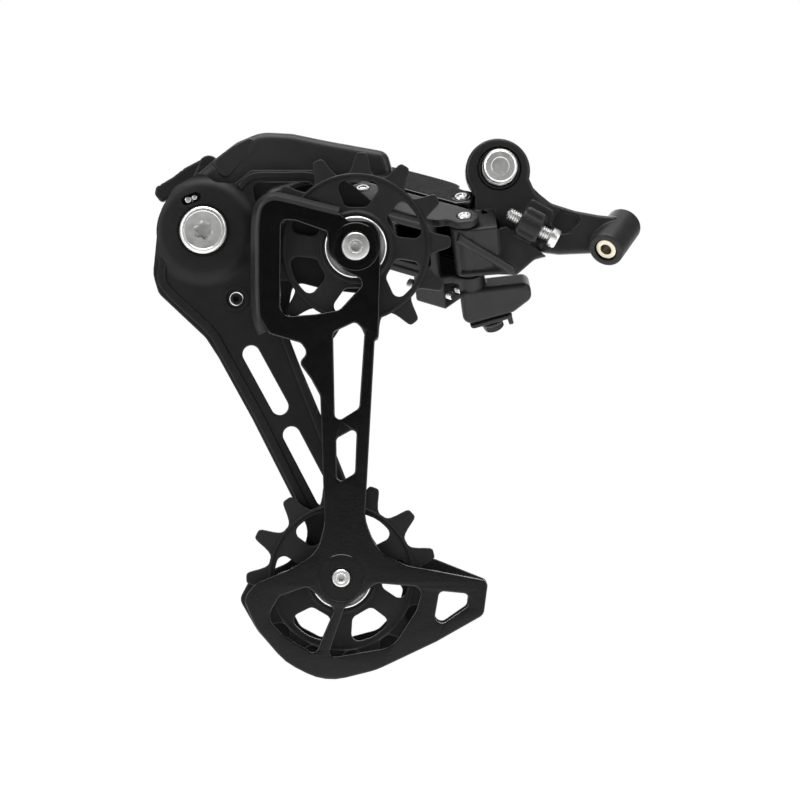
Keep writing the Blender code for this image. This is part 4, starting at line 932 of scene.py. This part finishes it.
def make_inner_plate():
    outline = rounded([
        (-66.0, -9.4, 6), (-58.0, -11.3), (-46.4, -14.0, 4), (-43.4, -16.2, 2.5), (-41.4, -16.0, 2),
        (-37.4, -16.2, 4),
        (-34.4, -19.4, 5), (-34.3, -29.0), (-34.9, -49.3, 1),
        (-36.0, -50.6, 1), (-38.3, -92.6), (-38.8, -101.0, 12), (-35.2, -110.2, 14), (-27.0, -114.2, 10),
        (-20.3, -115.4),
        (-3.7, -118.6, 1.8), (-5.0, -128.3, 2.5), (-18.4, -135.9), (-35.5, -144.0, 20), (-50.0, -147.6, 16),
        (-61.5, -141.8, 17), (-69.9, -132.0, 15), (-73.4, -123.5, 3.5), (-70.0, -119.3, 5),
        (-60.0, -115.3, 8),
        (-52.3, -110.2, 8), (-50.3, -102.0, 10), (-50.5, -95.0), (-51.5, -66.0, 3), (-54.2, -61.1),
        (-57.6, -56.5, 1.8),
        (-55.0, -53.8, 2), (-57.0, -51.0, 2), (-66.0, -48.4, 2.5), (-69.3, -43.0, 5), (-69.5, -13.5, 6),
    ])
    loop_window = rounded([
        (-62.6, -16.0, 2), (-58.5, -16.3, 2.5), (-49.6, -19.4, 1), (-49.5, -25.6, 6), (-44.0, -31.0, 4),
        (-38.4, -33.4, 2), (-46.0, -41.6, 2.5), (-52.7, -42.8), (-62.8, -43.6, 3),
    ])
    upper_window = rounded([
        (-47.8, -48.0, 1.5), (-41.5, -45.0, 1.5), (-38.9, -47.6, 1.5), (-40.4, -69.5, 2), (-47.3, -73.8, 1.5),
    ])
    lower_window = rounded([(-46.9, -78.2, 1.5), (-41.1, -75.0, 1.2), (-41.6, -88.0, 1.5),
        (-46.7, -91.0, 1.2)])
    piece = side_plate("inner_plate", outline, *INNER_PLATE, 0.42,
        [loop_window, upper_window, lower_window, *guard_windows()])
    lip = sweep("lip", smooth_path([
        (-46.2, -13.6), (-54.0, -11.7), (-60.6, -10.0), (-65.2, -9.4), (-68.6, -11.6), (-69.8, -16.6),
        (-69.95, -26.0),
        (-69.85, -38.0), (-69.4, -44.0), (-67.8, -48.2),
    ], 8), [
        (1.6, -17.4), (1.35, -17.95), (0.7, -18.1), (0.0, -17.85), (-1.3, -15.9), (-1.45, -15.2),
        (-1.45, -14.4),
        (-1.2, -14.2), (-0.5, -14.2), (-0.2, -14.4), (0.3, -16.2), (1.1, -16.7),
    ])
    eye = side_lathe("eye", [
        (0, -17.0), (6.9, -17.0), (6.9, -17.95), (6.7, -18.15), (6.45, -18.15), (6.3, -17.85),
        (6.1, -17.85), (5.95, -18.15),
        (4.5, -18.15), (4.3, -17.95), (0, -17.95),
    ], GUIDE, 96)
    low_eye = side_lathe("low_eye", [
        (0, -17.0), (6.8, -17.0), (6.8, -17.95), (6.6, -18.15), (6.4, -18.15), (6.2, -17.8), (6.0, -17.8),
        (5.8, -18.15),
        (3.3, -18.15), (3.1, -17.95), (0, -17.95),
    ], TENSION, 96)
    join(piece, eye, low_eye)
    cut(
        piece,
        side_lathe("h", drum(PULLEY_BOLT_HOLE, -22, -12, 0.1), GUIDE, 40),
        side_lathe("h", drum(PULLEY_BOLT_HOLE, -22, -12, 0.1), TENSION, 40),
    )
    show(piece, "cage", "gloss_black", "inner_cage_plate")
    # Painted highlight: the lip is a bent flange of the gloss black inner plate, and its lighter charcoal
    # finish stands in for light caught by its slanted face.
    show(lip, "cage", "charcoal").name = "v_inner_plate_lip"


def make_cage_bolts():
    profile = [
        (0, 17.0), (3.0, 17.0), (3.0, -9.7), (6.3, -9.7), (6.75, -10.0), (6.75, -10.7), (6.5, -11.0),
        (6.15, -11.2),
        (5.6, -11.2), (5.35, -11.0), (3.6, -10.95), (0, -10.95),
    ]
    bolt = side_lathe("axle_bolt", profile, P_AXLE, 96)
    cut(bolt, prism_tool(6, 2.9, (P_AXLE[0], 0, P_AXLE[1]), (0, 1, 0), -12.0, -8.2, waist=0.7))
    show(bolt, "cage", "silver", "p_axle_bolt")
    pin = side_lathe("stop", drum(1.7, -8.3, -1.2, 0.25), STOP_PIN, 40)
    cut(pin, prism_tool(6, 1.0, (STOP_PIN[0], 0, STOP_PIN[1]), (0, 1, 0), -9.0, -6.6))
    show(pin, "cage", "satin_black", "cage_stop_pin")
    seal = side_lathe("seal", washer(11.9, 13.6, -5.3, -4.3, 0.3), P_AXLE, 96)
    show(seal, "p_knuckle", "black_rubber", "p_seal_ring")
    head = [
        (2.5, -4.6), (2.5, -18.3), (3.7, -18.3), (3.95, -18.5), (3.95, -19.3), (3.7, -19.6), (3.3, -19.7),
        (1.95, -19.7),
        (1.8, -19.5), (1.5, -19.5), (0, -19.5),
    ]
    guide = side_lathe("guide_bolt", [(0, -4.6), *head], GUIDE, 64)
    cut(guide, prism_tool(6, 1.45, (GUIDE[0], 0, GUIDE[1]), (0, 1, 0), -21.0, -16.6))
    show(guide, "cage", "silver", "guide_pulley_bolt")
    profile = [
        (0, -18.45), (1.2, -18.45), (1.5, -18.7), (2.15, -18.7), (2.5, -18.4), (2.5, -5.3), (3.7, -5.3),
        (3.95, -5.1),
        (3.95, -3.9), (3.6, -3.5), (1.9, -3.5), (1.7, -3.7), (0, -3.7),
    ]
    tension = side_lathe("tension_bolt", profile, TENSION, 64)
    cut(tension, prism_tool(6, 1.6, (TENSION[0], 0, TENSION[1]), (0, 1, 0), -4.6, -2.0))
    cut(tension, prism_tool(6, 0.95, (TENSION[0], 0, TENSION[1]), (0, 1, 0), -19.5, -16.8))
    show(tension, "cage", "silver", "tension_pulley_bolt")


# ---------------------------------------------------------------- pulleys

def tooth_ring(centre, first_tooth):
    tooth = [
        (-9.6, 21.4), (-8.0, 22.1), (-6.2, 23.5), (-4.7, 25.3), (-3.7, 26.5), (-2.7, 27.1), (-1.4, 27.25),
        (1.4, 27.25),
        (2.7, 27.1), (3.7, 26.5), (4.7, 25.3), (6.2, 23.5), (8.0, 22.1), (9.6, 21.4),
    ]
    outline = []
    for index in range(TEETH):
        middle = first_tooth + 360.0 * index / TEETH
        outline += [Vector(polar(centre, radius, middle + offset)) for offset, radius in tooth]
        outline += [Vector(polar(centre, 21.05, middle + offset)) for offset in (11.6, 13.85, 16.1)]
    return outline


def make_pulley(name, centre, first_tooth, first_window, inner, outer, skew):
    openings = []
    for index in range(6):
        middle = first_window + 60.0 * index
        openings.append(rounded([
            (*polar(centre, outer, middle + 21 + skew), 2.1),
            (*polar(centre, outer + 0.7, middle + 1 + skew), 12),
            (*polar(centre, outer, middle - 19 + skew), 2.1),
            (*polar(centre, inner, middle - 15), 2.0), (*polar(centre, inner, middle + 15), 2.0),
        ]))
    wheel = side_plate(name, tooth_ring(centre, first_tooth), PULLEY_MID - 1.1, PULLEY_MID + 1.1, 0.42,
        openings)
    hub = side_lathe("hub", [
        (0, PULLEY_MID - 2.6), (9.3, PULLEY_MID - 2.6), (9.5, PULLEY_MID - 2.8), (9.95, PULLEY_MID - 2.8),
        (10.3, PULLEY_MID - 2.5), (10.5, PULLEY_MID - 1.3), (10.9, PULLEY_MID - 1.0),
        (10.9, PULLEY_MID + 1.0), (10.5, PULLEY_MID + 1.3), (10.3, PULLEY_MID + 2.5),
        (9.95, PULLEY_MID + 2.8),
        (9.5, PULLEY_MID + 2.8), (9.3, PULLEY_MID + 2.6), (0, PULLEY_MID + 2.6),
    ], centre, 96)
    rim = side_lathe("rim", washer(outer + 0.9, outer + 2.0, PULLEY_MID - 1.7, PULLEY_MID + 1.7, 0.35),
        centre, 120)
    join(wheel, hub, rim)
    cut(wheel, side_lathe("bore", drum(5.1, -18.0, -6.0, 0.1), centre, 64))
    show(wheel, name, "dark_plastic", name)


def make_seals():
    for prefix, centre in (("guide", GUIDE), ("tension", TENSION)):
        for side, label in ((-1, "inner"), (1, "outer")):
            profile = [
                (2.85, 3.2), (3.05, 3.1), (8.3, 3.1), (8.7, 3.15), (8.8, 3.35), (8.75, 3.65), (8.5, 3.8),
                (8.1, 3.75),
                (7.7, 3.55), (5.6, 3.5), (5.2, 3.85), (3.1, 3.88), (2.85, 3.75),
            ]
            turned = [(radius, PULLEY_MID + side * height) for radius, height in profile]
            cap = side_lathe("cap", turned, centre, 96)
            show(cap, "cage", "silver", f"{prefix}_seal_{label}")


make_mounting_bolt()
make_b_knuckle()
make_pins()
make_outer_link()
make_inner_link()
make_p_knuckle()
make_clutch_cover()
make_switch()
make_outer_plate()
make_inner_plate()
make_cage_bolts()
make_pulley("guide_pulley", GUIDE, 3.5, 90.0, 12.0, 19.3, -4)
make_pulley("tension_pulley", TENSION, 14.5, 60.0, 12.0, 19.0, -3)
make_seals()

KEPT = {
    "return_spring": "spring_steel", "one_way_clutch": "spring_steel", "friction_band": "spring_steel",
    "switch_cam": "spring_steel", "p_axle": "silver", "p_tension_spring": "spring_steel",
    "guide_pulley_bush": "silver", "tension_pulley_bush": "silver",
}
for kept, finish in KEPT.items():
    NODES[kept].data.materials.clear()
    NODES[kept].data.materials.append(FINISHES[finish])


# ---------------------------------------------------------------- studio

def area_light(name, place, target, size, power, size_y=None):
    data = bpy.data.lights.new(name, "AREA")
    data.shape = "RECTANGLE"
    data.size = size
    data.size_y = size_y or size
    data.energy = power
    light = bpy.data.objects.new(name, data)
    bpy.context.scene.collection.objects.link(light)
    light.location = place
    light.rotation_euler = (Vector(target) - Vector(place)).to_track_quat("-Z", "Y").to_euler()


CENTRE = (-0.03, 0.0, -0.067)
area_light("top", (-0.05, -0.1, 0.6), CENTRE, 0.7, 7.0, 0.5)
area_light("front_left", (-0.7, -0.6, 0.25), CENTRE, 0.35, 5.0, 0.7)
area_light("front_right", (0.7, -0.6, 0.2), CENTRE, 0.35, 4.0, 0.7)
area_light("back", (0.1, 0.8, 0.35), CENTRE, 0.8, 6.0)
area_light("low", (-0.1, -0.6, -0.6), CENTRE, 0.6, 1.5, 0.3)

world = bpy.data.worlds.new("studio")
bpy.context.scene.world = world
world.use_nodes = True
tree = world.node_tree
background = tree.nodes["Background"]
background.inputs["Color"].default_value = (1.0, 1.0, 1.0, 1.0)
direction = tree.nodes.new("ShaderNodeTexCoord")
parts = tree.nodes.new("ShaderNodeSeparateXYZ")
tree.links.new(direction.outputs["Generated"], parts.inputs["Vector"])
falloff = tree.nodes.new("ShaderNodeMapRange")
falloff.inputs["From Min"].default_value = -1.0
falloff.inputs["From Max"].default_value = -0.3
falloff.inputs["To Min"].default_value = 0.03
falloff.inputs["To Max"].default_value = 0.3
tree.links.new(parts.outputs["Y"], falloff.inputs["Value"])
tree.links.new(falloff.outputs["Result"], background.inputs["Strength"])
seen = tree.nodes.new("ShaderNodeBackground")
seen.inputs["Color"].default_value = (1.0, 1.0, 1.0, 1.0)
seen.inputs["Strength"].default_value = 1.0
ray = tree.nodes.new("ShaderNodeLightPath")
pick = tree.nodes.new("ShaderNodeMixShader")
tree.links.new(ray.outputs["Is Camera Ray"], pick.inputs["Fac"])
tree.links.new(background.outputs["Background"], pick.inputs[1])
tree.links.new(seen.outputs["Background"], pick.inputs[2])
tree.links.new(pick.outputs["Shader"], tree.nodes["World Output"].inputs["Surface"])

floor_mesh = bpy.data.meshes.new("floor")
work = bmesh.new()
bmesh.ops.create_grid(work, x_segments=1, y_segments=1, size=6.0)
work.to_mesh(floor_mesh)
work.free()
floor = bpy.data.objects.new("floor", floor_mesh)
bpy.context.scene.collection.objects.link(floor)
floor.location = (0, 0, -0.45)
paper = bpy.data.materials.new("paper")
paper.use_nodes = True
paper.node_tree.nodes["Principled BSDF"].inputs["Base Color"].default_value = (0.95, 0.95, 0.95, 1)
paper.node_tree.nodes["Principled BSDF"].inputs["Roughness"].default_value = 1.0
paper.node_tree.nodes["Principled BSDF"].inputs["Emission Color"].default_value = (1, 1, 1, 1)
paper.node_tree.nodes["Principled BSDF"].inputs["Emission Strength"].default_value = 0.75
floor_mesh.materials.append(paper)

camera_data = bpy.data.cameras.new("camera")
camera_data.lens = 139.7
camera_data.sensor_width = 36.0
camera = bpy.data.objects.new("camera", camera_data)
bpy.context.scene.collection.objects.link(camera)
camera.location = (-0.0288, -0.900, -0.0672)
camera.rotation_euler = (math.radians(90.0), 0.0, 0.0)
bpy.context.scene.camera = camera
bpy.context.scene.view_settings.view_transform = "Standard"
